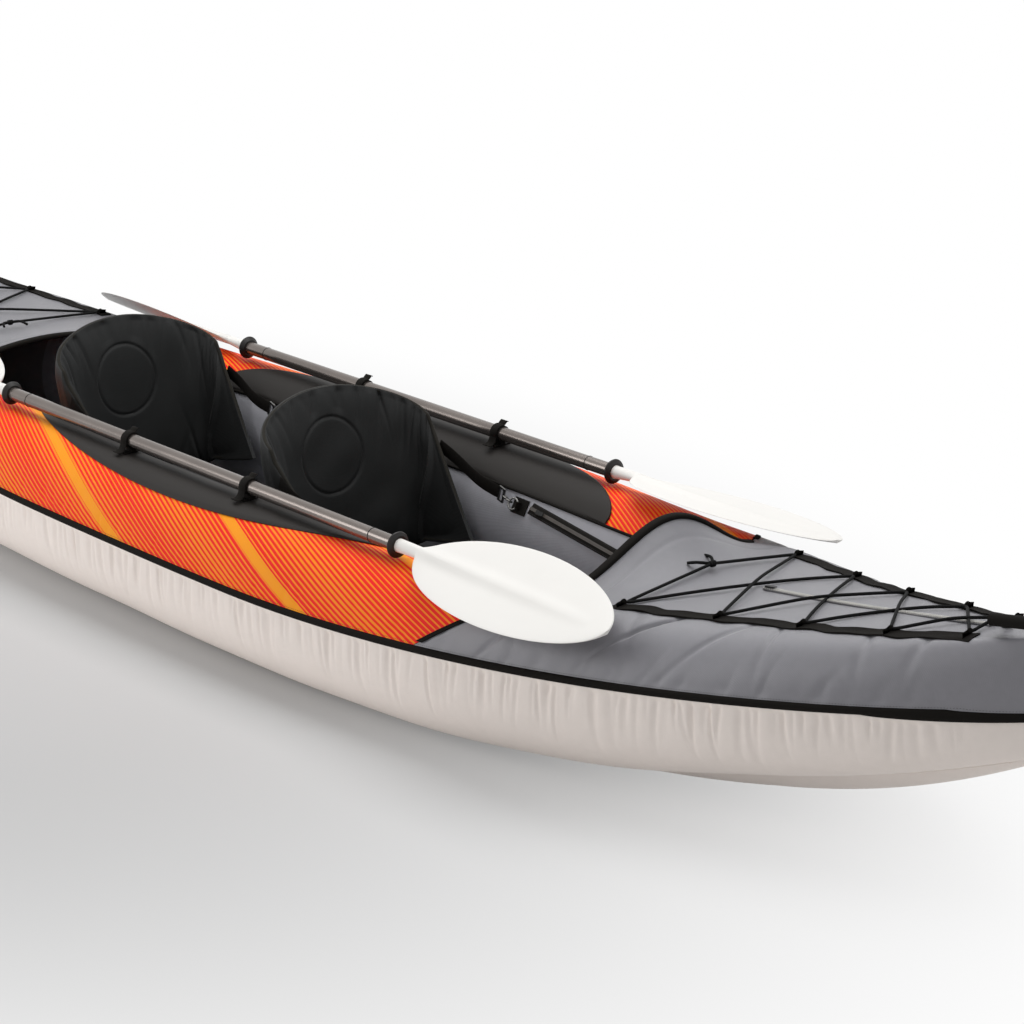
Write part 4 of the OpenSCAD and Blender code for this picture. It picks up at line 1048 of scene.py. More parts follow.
# %% Seam stitches
STITCH_END, STITCH_ABOVE, STITCH_LIFT = 2.12, 1.2, 0.0004
STITCH_PITCH, STITCH_SIZE = 0.0055, (0.0034, 0.0007, 0.0005)
stitch_lines = []
for side in SIDES:
    x = np.linspace(-STITCH_END, STITCH_END, 424)
    path, away = tube_line(x, piping_high(x) + STITCH_ABOVE, STITCH_LIFT, side)
    stitch_lines.append((path, unit(away)))
seam_stitches = row("seam_stitches", STITCH_ROW, stitch_lines, STITCH_PITCH, STITCH_SIZE, thread)
on_hull(seam_stitches)
print("seam stitches:", len(seam_stitches.data.polygons), "faces")

# %% [markdown]
# ## Deck lacing
# An elastic cord is laced over each deck. Its cover is braided in two dark tones. An image could show
# the braid, but a checker on the cord's UV map, which runs in metres along it, keeps one size on
# every length.

# %% Cord finish
BRAID_CELLS = (420.0, 4.0, 1.0)


def braid_finish():
    mat, tree, shader, place = start_finish("braided_cord", "UV")
    spread = add(tree, "ShaderNodeMapping", {"Vector": place, "Scale": BRAID_CELLS})
    cells = add(tree, "ShaderNodeTexChecker", {"Vector": spread.outputs[0], "Scale": 1.0}).outputs["Fac"]
    tone = mix_colour(tree, cells, linear((27, 27, 27)), linear((15, 15, 15)))
    tree.links.new(tone, shader.inputs["Base Color"])
    shader.inputs["Roughness"].default_value = 0.8
    shader.inputs["Specular IOR Level"].default_value = 0.1
    bump_into(tree, shader, cells, CLOTH_BUMP)
    return mat


cord_braid = braid_finish()
print("cord finish:", cord_braid.name)

# %% [markdown]
# Flat webbing is sewn along each side of a deck, partly on the tube and partly on the deck. It wavers
# where the lacing pulls it. A Shrinkwrap modifier could press a flat strip on, but the tube and the
# deck are known here as formulas, and they give the strip an even lift.

# %% Webbing
LACE_SHARE = [0.147, 0.35, 0.52, 0.694, 0.842]
LACE_COUNT = len(LACE_SHARE)
WEB_W, WEB_END, WEB_SINK, WEB_TUBE_SHARE = 0.028, 0.015, 0.0005, 0.7
# The laced webbing's edges waver and puff: each wave's size in metres, and its radians a metre.
WAVER_SLOW, WAVER_QUICK, WAVER_SHIFT, PUFF = (0.0022, 55), (0.0016, 91), 1.3, (0.0016, 37)


def lace_x(end, i):
    return DECK_EDGE[end] + LACE_SHARE[i] * (HALF_LEN - DECK_EDGE[end])


def web_surface(end, side, x, w, out):
    """A point w outside the crest: on the tube's side where w is positive, else on the deck."""
    y = crest_y(x) + w
    over = mid_z(x) + (half_height(x) + out) * np.sqrt(ramp(1 - (w / tube_half(x)) ** 2))
    z = np.where(w > 0, over, deck_z(end, x, np.minimum(y, crest_y(x))) + out)
    return stacked(end * x, side * y, z)


def deck_webbing(end, side):
    first, last = lace_x(end, 0), lace_x(end, LACE_COUNT - 1)
    x = np.linspace(first - WEB_END, last + WEB_END, 220)[:, None]
    width = np.minimum(WEB_W / 2, WEB_TUBE_SHARE * tube_half(x))
    q = np.linspace(-1, 1, 13)[None]
    slow = WAVER_SLOW[0] * np.sin(x * WAVER_SLOW[1] + WAVER_SHIFT * side)
    waver = slow + WAVER_QUICK[0] * np.sin(x * WAVER_QUICK[1])
    puff = PUFF[0] * np.abs(np.sin((x - first) * PUFF[1])) * np.abs(q) ** 3
    w = q * width + waver * np.abs(q)
    face = web_surface(end, side, x, w, LAY + TAPE_T + puff)
    back = web_surface(end, side, x, w, np.full(w.shape, LAY - WEB_SINK))
    name = "deck_webbing_%s_%s" % (ENDS[end], SIDES[side])
    return on_hull(shell(name, face, back, tape_cloth, stacked(x, w)), ["deck_webbings"])


print("lacing holds at", [round(lace_x(BOW, i), 2) for i in range(LACE_COUNT)], "m on the bow deck")

# %% [markdown]
# The cord is one closed run: out in a zigzag through short loops, back on the other legs, and tied in
# a knot. It could be drawn by hand as a bevelled curve. Here its corners follow from the places of
# the loops, its middles are kept above the deck, and then the corners are cut round.

# %% Route of the lacing
CORD_D, KNOT_R = 0.005, 0.007
CORD_LIFT = LAY + TAPE_T + 2 * NEAR + CORD_D / 2
BEND_REACH, BEND_CUT = 0.014, 0.0035


def anchor(end, i, side):
    x = lace_x(end, i)
    y = float(crest_y(x)) - CORD_D
    return np.array([end * x, side * y, float(deck_z(end, x, y)) + CORD_LIFT])


def over_deck(end, a, b, lift):
    """The middle of a leg, kept above the deck."""
    m = (a + b) / 2
    rest = float(deck_z(end, abs(m[0]), m[1])) + CORD_LIFT
    return np.array([m[0], m[1], max(m[2], rest) + lift])


def lace_route(end):
    """Points of the cord from the knot round all holds and back, and the knot's place."""
    out_leg = [anchor(end, i, STARBOARD if i % 2 == 0 else PORT) for i in range(LACE_COUNT)]
    back_leg = [anchor(end, i, PORT if i % 2 == 0 else STARBOARD) for i in reversed(range(LACE_COUNT))]
    corners = out_leg + back_leg
    last = len(corners) - 1
    # The way out lies on the deck, the way back crosses over it, and the last leg has the knot.
    lifts = [0] * (LACE_COUNT - 1) + [CORD_D + 2 * NEAR] * LACE_COUNT + [KNOT_R]
    middles = [over_deck(end, a, b, lift) for a, b, lift in zip(corners, corners[1:] + corners[:1], lifts)]
    knot = middles[last]
    route = [knot - np.array([0, CORD_D, 0])]
    for i, corner in enumerate(corners):
        before = knot if i == 0 else middles[i - 1]
        d1, d2 = unit(before - corner), unit(middles[i] - corner)
        route.append(over_deck(end, before, corner, NEAR))
        route += [corner + BEND_REACH * d1, corner + BEND_CUT * (d1 + d2), corner + BEND_REACH * d2]
        route.append(over_deck(end, corner, middles[i], NEAR))
        if i < last:
            route.append(middles[i])
    route.append(knot + np.array([0, CORD_D, 0]))
    return np.array(route), knot


print("lacing length", [round(float(path_length(lace_route(e)[0])[-1]), 2) for e in ENDS], "m")

# %% Cord, knot and loops
CORD_R, KNOT_CORD_R, CORD_SIDES = 0.0030, 0.0024, 10
COIL_R, COIL_HALF, COIL_TURNS, COIL_POINTS = 0.0042, 0.0052, 4.5 * np.pi, 60
# The two tails: how far each reaches towards the cockpit and to port.
TAILS = ((0.045, 0.020), (0.030, -0.034))
LOOP_GAP, LOOP_W, LOOP_T = 0.0012, 0.010, 0.0011


def knot_coil(knot):
    turn = np.linspace(0, COIL_TURNS, COIL_POINTS)
    run = np.linspace(-COIL_HALF, COIL_HALF, COIL_POINTS)
    return knot + np.stack([COIL_R * np.cos(turn), run, COIL_R * np.sin(turn)], -1)


def lace_loop(end, i, side):
    """A short webbing loop that holds the cord at the side of the deck."""
    at = anchor(end, i, side)
    out = np.array([0, side * 1.0, 0])
    rise = np.array([0, 0, 1.0])
    r = CORD_D / 2 + LOOP_GAP
    turn = np.linspace(-0.5 * np.pi, 0.9 * np.pi, 18)
    ring = [at + r * (-np.cos(a) * out + np.sin(a) * rise) for a in turn]
    foot = at + 0.016 * out - (CORD_LIFT - LAY - TAPE_T - 0.0008) * rise
    way_in = [foot, at + 0.006 * out - r * rise]
    way_out = [at + 0.008 * out + 0.0005 * rise, foot + 0.0012 * rise]
    name = "lace_loop_%s_%s_%d" % (ENDS[end], SIDES[side], i)
    path = np.array([*way_in, *ring, *way_out])
    return on_hull(swept(name, path, tape_outline(LOOP_W, LOOP_T), (1, 0, 0), tape_cloth))


def bungee(end):
    route, knot = lace_route(end)
    path = resample(smooth_path(route), 620)
    cord, name = disc_outline(CORD_R, CORD_SIDES), ENDS[end] + "_lacing"
    on_hull(swept(name, path, cord, (0, 0, 1), cord_braid), [ENDS[end] + "_bungee"])
    coil = disc_outline(KNOT_CORD_R, CORD_SIDES)
    on_hull(swept(name + "_knot", knot_coil(knot), coil, (0.3, 0.2, 1), cord_braid))
    for k, (dx, dy) in enumerate(TAILS):
        tip = knot + np.array([-end * dx, dy, 0.001])
        bend = knot + np.array([-end * dx * 0.4, dy * 0.8, 0.006])
        tail = resample(smooth_path(np.array([knot, bend, tip]), 3), 24)
        on_hull(swept("%s_tail_%d" % (name, k), tail, cord, (0, 0, 1), cord_braid))
    for i in range(LACE_COUNT):
        for side in SIDES:
            lace_loop(end, i, side)


for end in ENDS:
    bungee(end)
    for side in SIDES:
        deck_webbing(end, side)
print("lacing made with", 2 * LACE_COUNT, "loops a deck")

# %% [markdown]
# ## Zips
# A zip runs along the middle of each deck and on each wall ahead of the front seat. A strip with a
# tooth pattern in its bump would do from afar. Here the tape is a swept strip, and the row trees set
# teeth and stitches on it, which catch light as the real ones do.

# %% Zips
ZIP_W, DECK_ZIP_SHARE, WALL_LAY = 0.026, 0.6, 0.002
DECK_ZIP_RUN, WALL_ZIP_RUN = (0.29, 0.84), (0.544, 1.110)
WALL_ZIP_TURN, WALL_ZIP_FALL = 9, 18
DECK_TOOTH_SIZE, WALL_TOOTH_SIZE = (0.0030, 0.0062, 0.0040), (0.0021, 0.0040, 0.0020)
TOOTH_PITCH, TOOTH_SET, TOOTH_LIFT = 1.7, 0.0016, 0.0011
ZIP_STITCH_PITCH, ZIP_STITCH_SIZE = 0.006, (0.0036, 0.0009, 0.0007)
ZIP_STITCH_SET, ZIP_STITCH_LIFT = 0.4, 0.0008


def zip_piece(name, centre, up, replaces, cloth, width, tooth, tooth_size, under=0.0):
    """Tape, teeth and stitches along a line. The tape goes down by under, to reach the cloth."""
    outline = tape_outline(width, TAPE_T + under) - np.array([0, under / 2])
    on_hull(swept(name + "_tape", centre, outline, up, cloth), replaces)
    _, across, rise = path_frames(centre, up)
    lines = [(centre + s * TOOTH_SET * across + TOOTH_LIFT * rise, rise) for s in (-1, 1)]
    teeth = row(name + "_teeth", BLOCK_ROW, lines, TOOTH_PITCH * tooth_size[0], tooth_size, tooth)
    on_hull(teeth)
    edges = [(centre + s * ZIP_STITCH_SET * width * across + ZIP_STITCH_LIFT * rise, rise) for s in (-1, 1)]
    sewn = row(name + "_stitches", STITCH_ROW, edges, ZIP_STITCH_PITCH, ZIP_STITCH_SIZE, thread)
    on_hull(sewn)


for end in ENDS:
    far = np.linspace(*DECK_ZIP_RUN, 120) * (HALF_LEN - DECK_EDGE[end]) + DECK_EDGE[end]
    centre = np.stack([end * far, 0 * far, deck_z(end, end * far, 0 * far) + LAY + TAPE_T / 2], -1)
    zip_piece(ENDS[end] + "_deck_zip", centre, (0, 0, 1), ["deck_zips"], deck_tape,
              DECK_ZIP_SHARE * ZIP_W, deck_tooth, DECK_TOOTH_SIZE)
for side in SIDES:
    u = np.linspace(0, 1, 120)
    angle = WALL_SEAM + SEAM_HALF + WALL_ZIP_TURN + WALL_ZIP_FALL * u
    centre, away = tube_line(lerp(*WALL_ZIP_RUN, u), angle, WALL_LAY + TAPE_T / 2, side)
    zip_piece("wall_zip_" + SIDES[side], centre, unit(away), ["wall_zips"], tape_cloth,
              ZIP_W, wall_tooth, WALL_TOOTH_SIZE, under=WALL_LAY)
print("zips made")

# %% [markdown]
# ## The floor mat
# The floor is a flat high-pressure mat with rounded edges, seen between the seats and the bow. A
# bevelled box would not narrow with the boat, so the mat is lofted over flat rings that follow the
# tubes.

# %% Floor mat
MAT_T, MAT_EDGE, MAT_SQUARE, MAT_SIDES = 0.085, 0.005, 7, 64
MAT_LOW = SKIN_T + NEAR
MAT_TOP = MAT_LOW + MAT_T


def floor_mat():
    x = (HALF_LEN * np.sin(np.radians(90 * np.linspace(-6, 6, 121) / 16)))[:, None]
    turn = 2 * np.pi * (np.arange(MAT_SIDES)[None] + 0.5) / MAT_SIDES
    half = crest_y(x) - tube_half(x) - MAT_EDGE
    y = half * signed_power(np.cos(turn), MAT_SQUARE)
    z = keel_z(x) + MAT_LOW + MAT_T / 2 + MAT_T / 2 * signed_power(np.sin(turn), MAT_SQUARE)
    return on_hull(loft("floor_mat_pad", stacked(x, y, z), floor_cloth), ["floor_mat"])


floor_mat()
print("floor mat top", round(MAT_TOP, 4), "m")

# %% [markdown]
# ## The seats
# Each seat is a padded back that wraps round into two wings, and a pad on the floor. Blender's Cloth
# with pressure could swell the padding, but tucks would form where the simulation puts them. So the
# back is a grid over its own outline: the padding swells between the bound edge, the round panel and
# the fold of the wings, and the cloth gathers where it is sewn.

# %% Shape of a backrest
SEATS = {"front": 0.169, "rear": -0.612}
BACK_T, BACK_TOP, WING_DROP, TOP_ROUND = 0.034, 0.458, 0.098, 0.06
WING_LEN, WING_RAKE, BACK_DEPTH, WING_SHARE = 0.256, 0.150, 0.095, 0.78
BACK_LEAN, BACK_CLEAR, WING_LIFT = math.radians(9), 0.005, 0.068
BACK_FLARE, BACK_ROUNDNESS, BACK_EDGE = 0.038, 0.93, 0.28
SEAT_END = SEATS["rear"] - BACK_T
SEAT_HALF = float(crest_y(SEAT_END) - tube_half(SEAT_END)) - 0.005
BACK_FOOT = MAT_TOP + BACK_CLEAR
SLOPE_STEP = 0.01


def foot_edge(s):
    """Height of the lower edge, with s from wing tip to wing tip."""
    return BACK_FOOT + WING_LIFT * np.abs(s) ** 3


def top_edge(s):
    fall = np.sqrt(s * s + TOP_ROUND) - math.sqrt(TOP_ROUND)
    return BACK_TOP - WING_DROP * fall / (math.sqrt(1 + TOP_ROUND) - math.sqrt(TOP_ROUND))


def back_half(v):
    return SEAT_HALF - BACK_T / 2 + BACK_FLARE * v


def back_plan(s, v):
    """The back seen from above, with v from foot to top."""
    a = np.abs(s)
    f = np.pi / 2 * np.minimum(1, a / WING_SHARE)
    reach = (WING_LEN - WING_RAKE * v - BACK_DEPTH) * np.clip(a - WING_SHARE, 0, None) / (1 - WING_SHARE)
    px = BACK_DEPTH * (1 - ramp(np.cos(f)) ** BACK_ROUNDNESS) + reach
    py = np.where(s < 0, -1, 1) * back_half(v) * ramp(np.sin(f)) ** BACK_ROUNDNESS
    return px, py


def back_surface(seat_x, s, v, lift):
    """Points of a back's middle sheet, moved along its normal by lift."""
    z = lerp(foot_edge(s), top_edge(s), v)
    px, py = back_plan(s, v)
    ax, ay = back_plan(s - SLOPE_STEP, v)
    bx, by = back_plan(s + SLOPE_STEP, v)
    n = unit(np.stack([by - ay, ax - bx], -1))
    x = seat_x + px - (z - BACK_FOOT) * math.tan(BACK_LEAN) + lift * n[..., 0]
    return np.stack([x, py + lift * n[..., 1], z], -1)


print("backrests", round(2 * SEAT_HALF, 3), "m wide at the foot")

# %% Padding of a backrest
ROUND_R, ROUND_Z, ROUND_SEAM_WIDE, ROUND_SEAM_DEEP = 0.080, 0.318, 0.0032, 0.0032
BACK_GIRTH, SMOOTH_RIM = 0.40, 0.02
FOLD_PLACE, FOLD_SOFT, FOLD_PINCH, FOLD_DEEP = (0.72, 0.93), 0.025, 0.012, 0.0060


def back_swell(s, v):
    return (1 - np.abs(s) ** 8) * (1 - np.abs(2 * v - 1) ** 6)


def back_thick(s, v):
    return BACK_T * lerp(BACK_EDGE, 1.0, back_swell(s, v))


def back_relief(s, v, y, z, seed):
    """Seams, tucks and the fold of the wings, in metres from the smooth padding."""
    r = np.hypot(y, z - ROUND_Z)
    panel = np.abs(s) < WING_SHARE
    seam = np.where(panel, np.exp(-((r - ROUND_R) / ROUND_SEAM_WIDE) ** 2), 0)
    girth, height = s * BACK_GIRTH, z - BACK_FOOT
    drop = (1 - v) * (top_edge(s) - foot_edge(s))
    span = (-BACK_GIRTH, BACK_GIRTH)
    top_tucks = creases(girth, drop, seed, span, every=0.024,
                        deep=0.0050, wide=0.008, long=0.085, slant=0.22)
    low_tucks = creases(girth, height, seed + 10, span, every=0.040,
                        deep=0.0040, wide=0.011, long=0.080, slant=0.3)
    inside = np.where(panel, ramp((r - ROUND_R) / SMOOTH_RIM), 1)
    past = np.abs(s) - lerp(*FOLD_PLACE, v)
    fold = ramp(past / FOLD_SOFT) - 0.6 * np.exp(-(past / FOLD_PINCH) ** 2)
    soft = ripples(girth, z, seed + 41, wave=0.12, height=0.0012)
    return -ROUND_SEAM_DEEP * seam - FOLD_DEEP * fold + (top_tucks + low_tucks) * inside + soft


def back_rim(seat_x):
    """The bound edge, all the way round."""
    across, up = np.linspace(-1, 1, 160), np.linspace(0, 1, 60)
    s = np.concatenate([across, np.full(60, 1.0), across[::-1], np.full(60, -1.0)])
    v = np.concatenate([np.full(160, 1.0), up[::-1], np.full(160, 0.0), up])
    rim = back_surface(seat_x, s * 0.992, lerp(0.008, 0.990, v), 0 * s)
    return resample(rim, 400)[:-1]


def round_seam(seat_x):
    """The circle of the stitched panel, laid on the padding's front."""
    turn = np.linspace(0, 2 * np.pi, 160)
    y, z = ROUND_R * np.cos(turn), ROUND_Z + ROUND_R * np.sin(turn)
    v = 0.5 + 0 * y
    for _ in range(4):
        f = np.arcsin(ramp(np.abs(y) / back_half(v)) ** (1 / BACK_ROUNDNESS))
        s = np.sign(y) * WING_SHARE * f / (np.pi / 2)
        v = (z - foot_edge(s)) / (top_edge(s) - foot_edge(s))
    return back_surface(seat_x, s, v, back_thick(s, v) / 2 - 0.0045)


print("round panel", 2 * ROUND_R, "m across")

# %% Backrests
BACK_GRID = (281, 151)
BACK_FILL, BACK_SEEDS = 0.7, {"front": 5, "rear": 6}
SEAT_PIPING_R, SEAT_STITCH_PITCH, SEAT_STITCH_SIZE = 0.0044, 0.005, (0.0036, 0.0010, 0.0008)


def on_back(obj, label):
    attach(obj, label + "_back")
    return obj


def backrest(label, seat_x):
    s, v = np.meshgrid(np.linspace(-1, 1, BACK_GRID[0]), np.linspace(0, 1, BACK_GRID[1]), indexing="ij")
    middle = back_surface(seat_x, s, v, 0 * s)
    y, z = middle[..., 1], middle[..., 2]
    swell, thick = back_swell(s, v), back_thick(s, v)
    relief = back_relief(s, v, y, z, BACK_SEEDS[label]) * np.clip(swell * 3, 0.1, 1)
    front = back_surface(seat_x, s, v, thick / 2 + np.maximum(relief, -thick * 0.6))
    rear = back_surface(seat_x, s, v, -thick / 2 + 0.0012 * np.sin(40 * s) * swell)
    obj = shell(label + "_seat_back", front, rear, seat_cloth, np.stack([s * BACK_GIRTH, z], -1))
    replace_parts(on_back(obj, label), label + "_backrest")
    rim = back_rim(seat_x)
    facing = unit(rim - rim.mean(0)) + np.array([0.01, 0, 0])
    cord = disc_outline(SEAT_PIPING_R, 10)
    on_back(swept(label + "_seat_piping", rim, cord, facing, seat_tape, closed=True), label)
    lines = [(round_seam(seat_x), (1.0, 0.0, 0.15))]
    sewn = row(label + "_seat_stitches", STITCH_ROW, lines, SEAT_STITCH_PITCH, SEAT_STITCH_SIZE, seat_thread)
    on_back(sewn, label)


for label, seat_x in SEATS.items():
    backrest(label, seat_x)
print("backrests made:", len(SEATS))

# %% [markdown]
# A seat pad is a thin cushion with two sewn channels across. It is flat where it rests on the mat,
# its sides pull in between the corners, and its top is crowned. A subdivided box could be pulled into
# that shape by hand; here the crown, channels and tucks are added as heights on one grid.

# %% Seat pads
PAD_LEN, PAD_T, PAD_START, PAD_PULL = 0.385, 0.060, 0.056, 0.007
PAD_HALF = SEAT_HALF - BACK_T - 0.008
PAD_GRID, PAD_EDGE, PAD_FILL = (121, 91), 0.35, 0.7
CHANNELS, CHANNEL_WIDE, CHANNEL_DEEP = (0.36, 0.68), 0.006, 0.006


def seat_pad(label, seat_x):
    u, v = np.meshgrid(np.linspace(0, 1, PAD_GRID[0]), np.linspace(-1, 1, PAD_GRID[1]), indexing="ij")
    x = seat_x + PAD_START + PAD_LEN * u - PAD_PULL * (2 * u - 1) * (1 - v * v)
    y = v * (PAD_HALF - PAD_PULL * np.sin(np.pi * u))
    crown = (1 - np.abs(2 * u - 1) ** 5) * (1 - np.abs(v) ** 5)
    base = MAT_TOP + NEAR
    edge = np.minimum(np.minimum(u, 1 - u) * PAD_LEN, (1 - np.abs(v)) * PAD_HALF)
    tucks = creases(u * PAD_LEN, edge, 61, span=(0, PAD_LEN), every=0.03, deep=0.003, wide=0.008, long=0.03)
    soft = ripples(x, y, 62, wave=0.12, height=0.0012)
    seams = sum(np.exp(-((u - k) * PAD_LEN / CHANNEL_WIDE) ** 2) for k in CHANNELS)
    relief = (tucks * ramp(edge / 0.004) + soft - CHANNEL_DEEP * seams) * ramp(crown * 3)
    top = np.stack([x, y, base + (PAD_T * lerp(PAD_EDGE, 1.0, crown) + relief)], -1)
    bottom = np.stack([x, y, np.full(x.shape, base)], -1)
    obj = shell(label + "_seat_cushion", top, bottom, seat_cloth, np.stack([x, y], -1))
    on_hull(obj, [label + "_seat_pad"])
    return obj


for label, seat_x in SEATS.items():
    seat_pad(label, seat_x)
print("seat pads made:", len(SEATS))

# %% [markdown]
# ## Seat straps
# A webbing strap runs from each wing to a hook on the wall. A rigid strap would tear off one end
# when the back reclines; this one is swept as one strip between the ends of the CAD strap, with a
# little sag and wave, and is not attached to the back or the hull.

# %% Seat straps
STRAP_T, STRAP_W, STRAP_CORNER = 0.002, 0.028, 0.03
STRAP_IN, STRAP_SET, STRAP_DROP = 0.004, 0.001, 0.0118
STRAP_SAG, STRAP_WAVE = 0.006, 0.004


def strap_ends(label, side):
    low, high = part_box("%s_strap_%s" % (label, SIDES[side]))
    inner, outer = (low.y, high.y) if side == PORT else (high.y, low.y)
    start = np.array([low.x + STRAP_IN, inner + side * STRAP_SET, high.z - STRAP_DROP])
    stop = np.array([high.x - STRAP_IN, outer - side * STRAP_SET, low.z + STRAP_DROP])
    return start, stop


def seat_strap(label, side):
    start, stop = strap_ends(label, side)
    t = np.linspace(0, 1, 60)
    path = lerp(start, stop, t[:, None])
    path[:, 2] -= STRAP_SAG * np.sin(np.pi * t)
    path[:, 1] += side * STRAP_WAVE * np.sin(2 * np.pi * t)
    outline = tape_outline(STRAP_T, STRAP_W, STRAP_CORNER)
    obj = swept("%s_seat_strap_%s" % (label, SIDES[side]), path, outline, (0, 0, 1), tape_cloth)
    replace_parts(obj, "%s_strap_%s" % (label, SIDES[side]))
    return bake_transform(obj)


for label in SEATS:
    for side in SIDES:
        seat_strap(label, side)
print("seat straps made")

# %% [markdown]
# ## The paddles
# Shafts, stubs and drip rings are turned parts, so their CAD solids stay and get a metal or rubber
# finish. The blades are lofted again with many more sections, so that the spine and the spoon of the
# face read smoothly; a Subdivision Surface on the CAD blade would soften its plug as well.

# %% Blades
SHAFT_D, STUB_LEN, BLADE_LEN, BLADE_W = 0.029, 0.082, 0.612, 0.216
BLADE_RISE, BLADE_SWEEP, BLADE_NECK, BLADE_ROUND = 0.006, 0.017, 0.1, 0.55
BLADE_EDGE, BLADE_TIP, BLADE_CUP, BLADE_SHARP = 0.0035, 0.002, 0.0045, 60
NECK_END, ROOT_END, ROOT_POWER = 0.3, 0.22, 1.5
SPINE_H, SPINE_W, SPINE_END, SPINE_POWER = 0.010, 0.013, 0.92, 0.6
BLADE_ROWS, BLADE_SIDES, PLUG_R, PLUG_LEN = 91, 72, 0.0126, 0.026
SHAFT_Y = float(crest_y(0.0)) - 0.013
SHAFT_Z = TUBE_H + 0.0155 + SHAFT_D / 2
# Each paddle's middle along the boat and its shaft's length, and each blade's turn in degrees.
PADDLES = {PORT: (0.048, 1.126), STARBOARD: (0.090, 1.232)}
BLADE_TURN = {(PORT, BOW): -10.0, (PORT, STERN): -31.0, (STARBOARD, BOW): 23.0, (STARBOARD, STERN): 23.0}
BLADE_LABEL = {BOW: "front", STERN: "rear"}


def blade_sections(u, side):
    """Offsets across and up for a blade's rings, with u from neck to tip."""
    turn = circle_turns(BLADE_SIDES)[None]
    v = ramp((u - BLADE_NECK) / (1 - BLADE_NECK))
    half = BLADE_W / 2 * np.clip(4 * v * (1 - v), 0, None) ** BLADE_ROUND
    neck = SHAFT_D / 2 - 0.001
    half = np.maximum(np.where(u < NECK_END, neck, BLADE_TIP), half)
    root = ramp(1 - u / ROOT_END) ** ROOT_POWER
    y = -half * np.cos(turn)
    spine = SPINE_H * ramp(1 - u / SPINE_END) ** SPINE_POWER * np.exp(-(y / SPINE_W) ** 2)
    rib = np.where(np.sin(turn) > 0, spine * (1 - root), 0)
    cup = BLADE_CUP * (1 - root) * (y / (BLADE_W / 2)) ** 2
    h = lerp(BLADE_EDGE, neck, root) * np.sin(turn) + rib + BLADE_RISE * u * u + cup
    return y + side * BLADE_SWEEP * u * u, h


def on_shaft(side, end, x, y, h):
    """Points at offsets from the shaft's line, turned as the blade is."""
    turn = math.radians(BLADE_TURN[side, end])
    c, s = math.cos(turn), math.sin(turn)
    return stacked(x, side * SHAFT_Y + y * c - h * s, SHAFT_Z + y * s + h * c)


def blade(side, end):
    middle, length = PADDLES[side]
    u = np.sin(np.pi / 2 * np.linspace(0, 1, BLADE_ROWS))[:, None]
    x = middle + end * (length / 2 + STUB_LEN + NEAR + BLADE_LEN * u)
    rings = on_shaft(side, end, x, *blade_sections(u, side))
    turn = circle_turns(BLADE_SIDES)
    plug_x = middle + end * (length / 2 + STUB_LEN + np.array([[-PLUG_LEN], [0.0]]))
    plug = on_shaft(side, end, plug_x, PLUG_R * -np.cos(turn), PLUG_R * np.sin(turn))
    where = "%s_%s" % (BLADE_LABEL[end], SIDES[side])
    obj = loft("paddle_blade_" + where, np.concatenate([plug, rings]), blade_white, sharp=BLADE_SHARP)
    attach(obj, "blade_%s_end" % where)
    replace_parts(obj, "blade_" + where)
    return obj


for side in SIDES:
    for end in ENDS:
        blade(side, end)
print("blades made:", len(BLADE_TURN))

# %% [markdown]
# Each paddle lies in two straps on the gunwale. Their loops are CAD solids; the free end of each is
# added here, because it is thin and soft. A fine dark line marks where a stub goes into the shaft. It
# could be a dark stripe in the metal, but a thin ring stays crisp and moves with its paddle.

# %% Strap tails and shaft joints
HOLDS = {PORT: (-0.147, 0.324), STARBOARD: (-0.129, 0.299)}
HOLD_W, TAIL_T, HOLD_R = 0.022, 0.0017, SHAFT_D / 2 + NEAR + 0.0025
# The tail's points across and above the shaft: before the wrap from its top, after it from its side.
TAIL_EAR = np.array([[0.0150, HOLD_R + 0.0065], [0.0125, HOLD_R + 0.0078], [0.0085, HOLD_R + 0.0045]])
TAIL_HANG = np.array([[-HOLD_R - 0.0035, -0.012], [-HOLD_R - 0.007, -0.018],
                      [-HOLD_R - 0.014, -0.0215], [-HOLD_R - 0.021, -0.0205]])
TAIL_WRAP, TAIL_OUT = (75, 195), 0.0012
JOINT_SIDES, JOINT_R = 48, 0.0009


def strap_tail(side, place, k):
    """The strap's free end: it stands up over the loop, wraps it and hangs down."""
    turn = np.radians(np.linspace(*TAIL_WRAP, 40))
    wrap = (HOLD_R + TAIL_OUT) * np.stack([np.cos(turn), np.sin(turn)], -1)
    flat = np.concatenate([TAIL_EAR, wrap, TAIL_HANG]) + np.array([side * SHAFT_Y, SHAFT_Z])
    path = smooth_path(np.column_stack([np.full(len(flat), place), flat]))
    run = np.gradient(path, axis=0)
    up = unit(np.column_stack([0 * run[:, 0], run[:, 2], -run[:, 1]]))
    name = "strap_tail_%s_%d" % (SIDES[side], k)
    return on_hull(swept(name, path, tape_outline(HOLD_W, TAIL_T), up, tape_cloth))


def shaft_joint(side, end):
    middle, length = PADDLES[side]
    turn = circle_turns(JOINT_SIDES)
    ring = SHAFT_D / 2 * np.stack([0 * turn, np.cos(turn), np.sin(turn)], -1)
    path = ring + np.array([middle + end * length / 2, side * SHAFT_Y, SHAFT_Z])
    name = "joint_line_%s_%s" % (ENDS[end], SIDES[side])
    obj = swept(name, path, disc_outline(JOINT_R, 8), (1, 0, 0), ring_rubber, closed=True)
    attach(obj, "paddle_" + SIDES[side])
    return obj


for side in SIDES:
    for k, place in enumerate(HOLDS[side]):
        strap_tail(side, place, k)
    for end in ENDS:
        shaft_joint(side, end)
print("strap tails and joint lines made")

# %% [markdown]
# ## Hard pieces
# Sliders, caps, rings, hooks, shafts, handles and paddle straps keep their CAD shape. They could be
# modelled again, but that shape is already exact, so they only change their material.

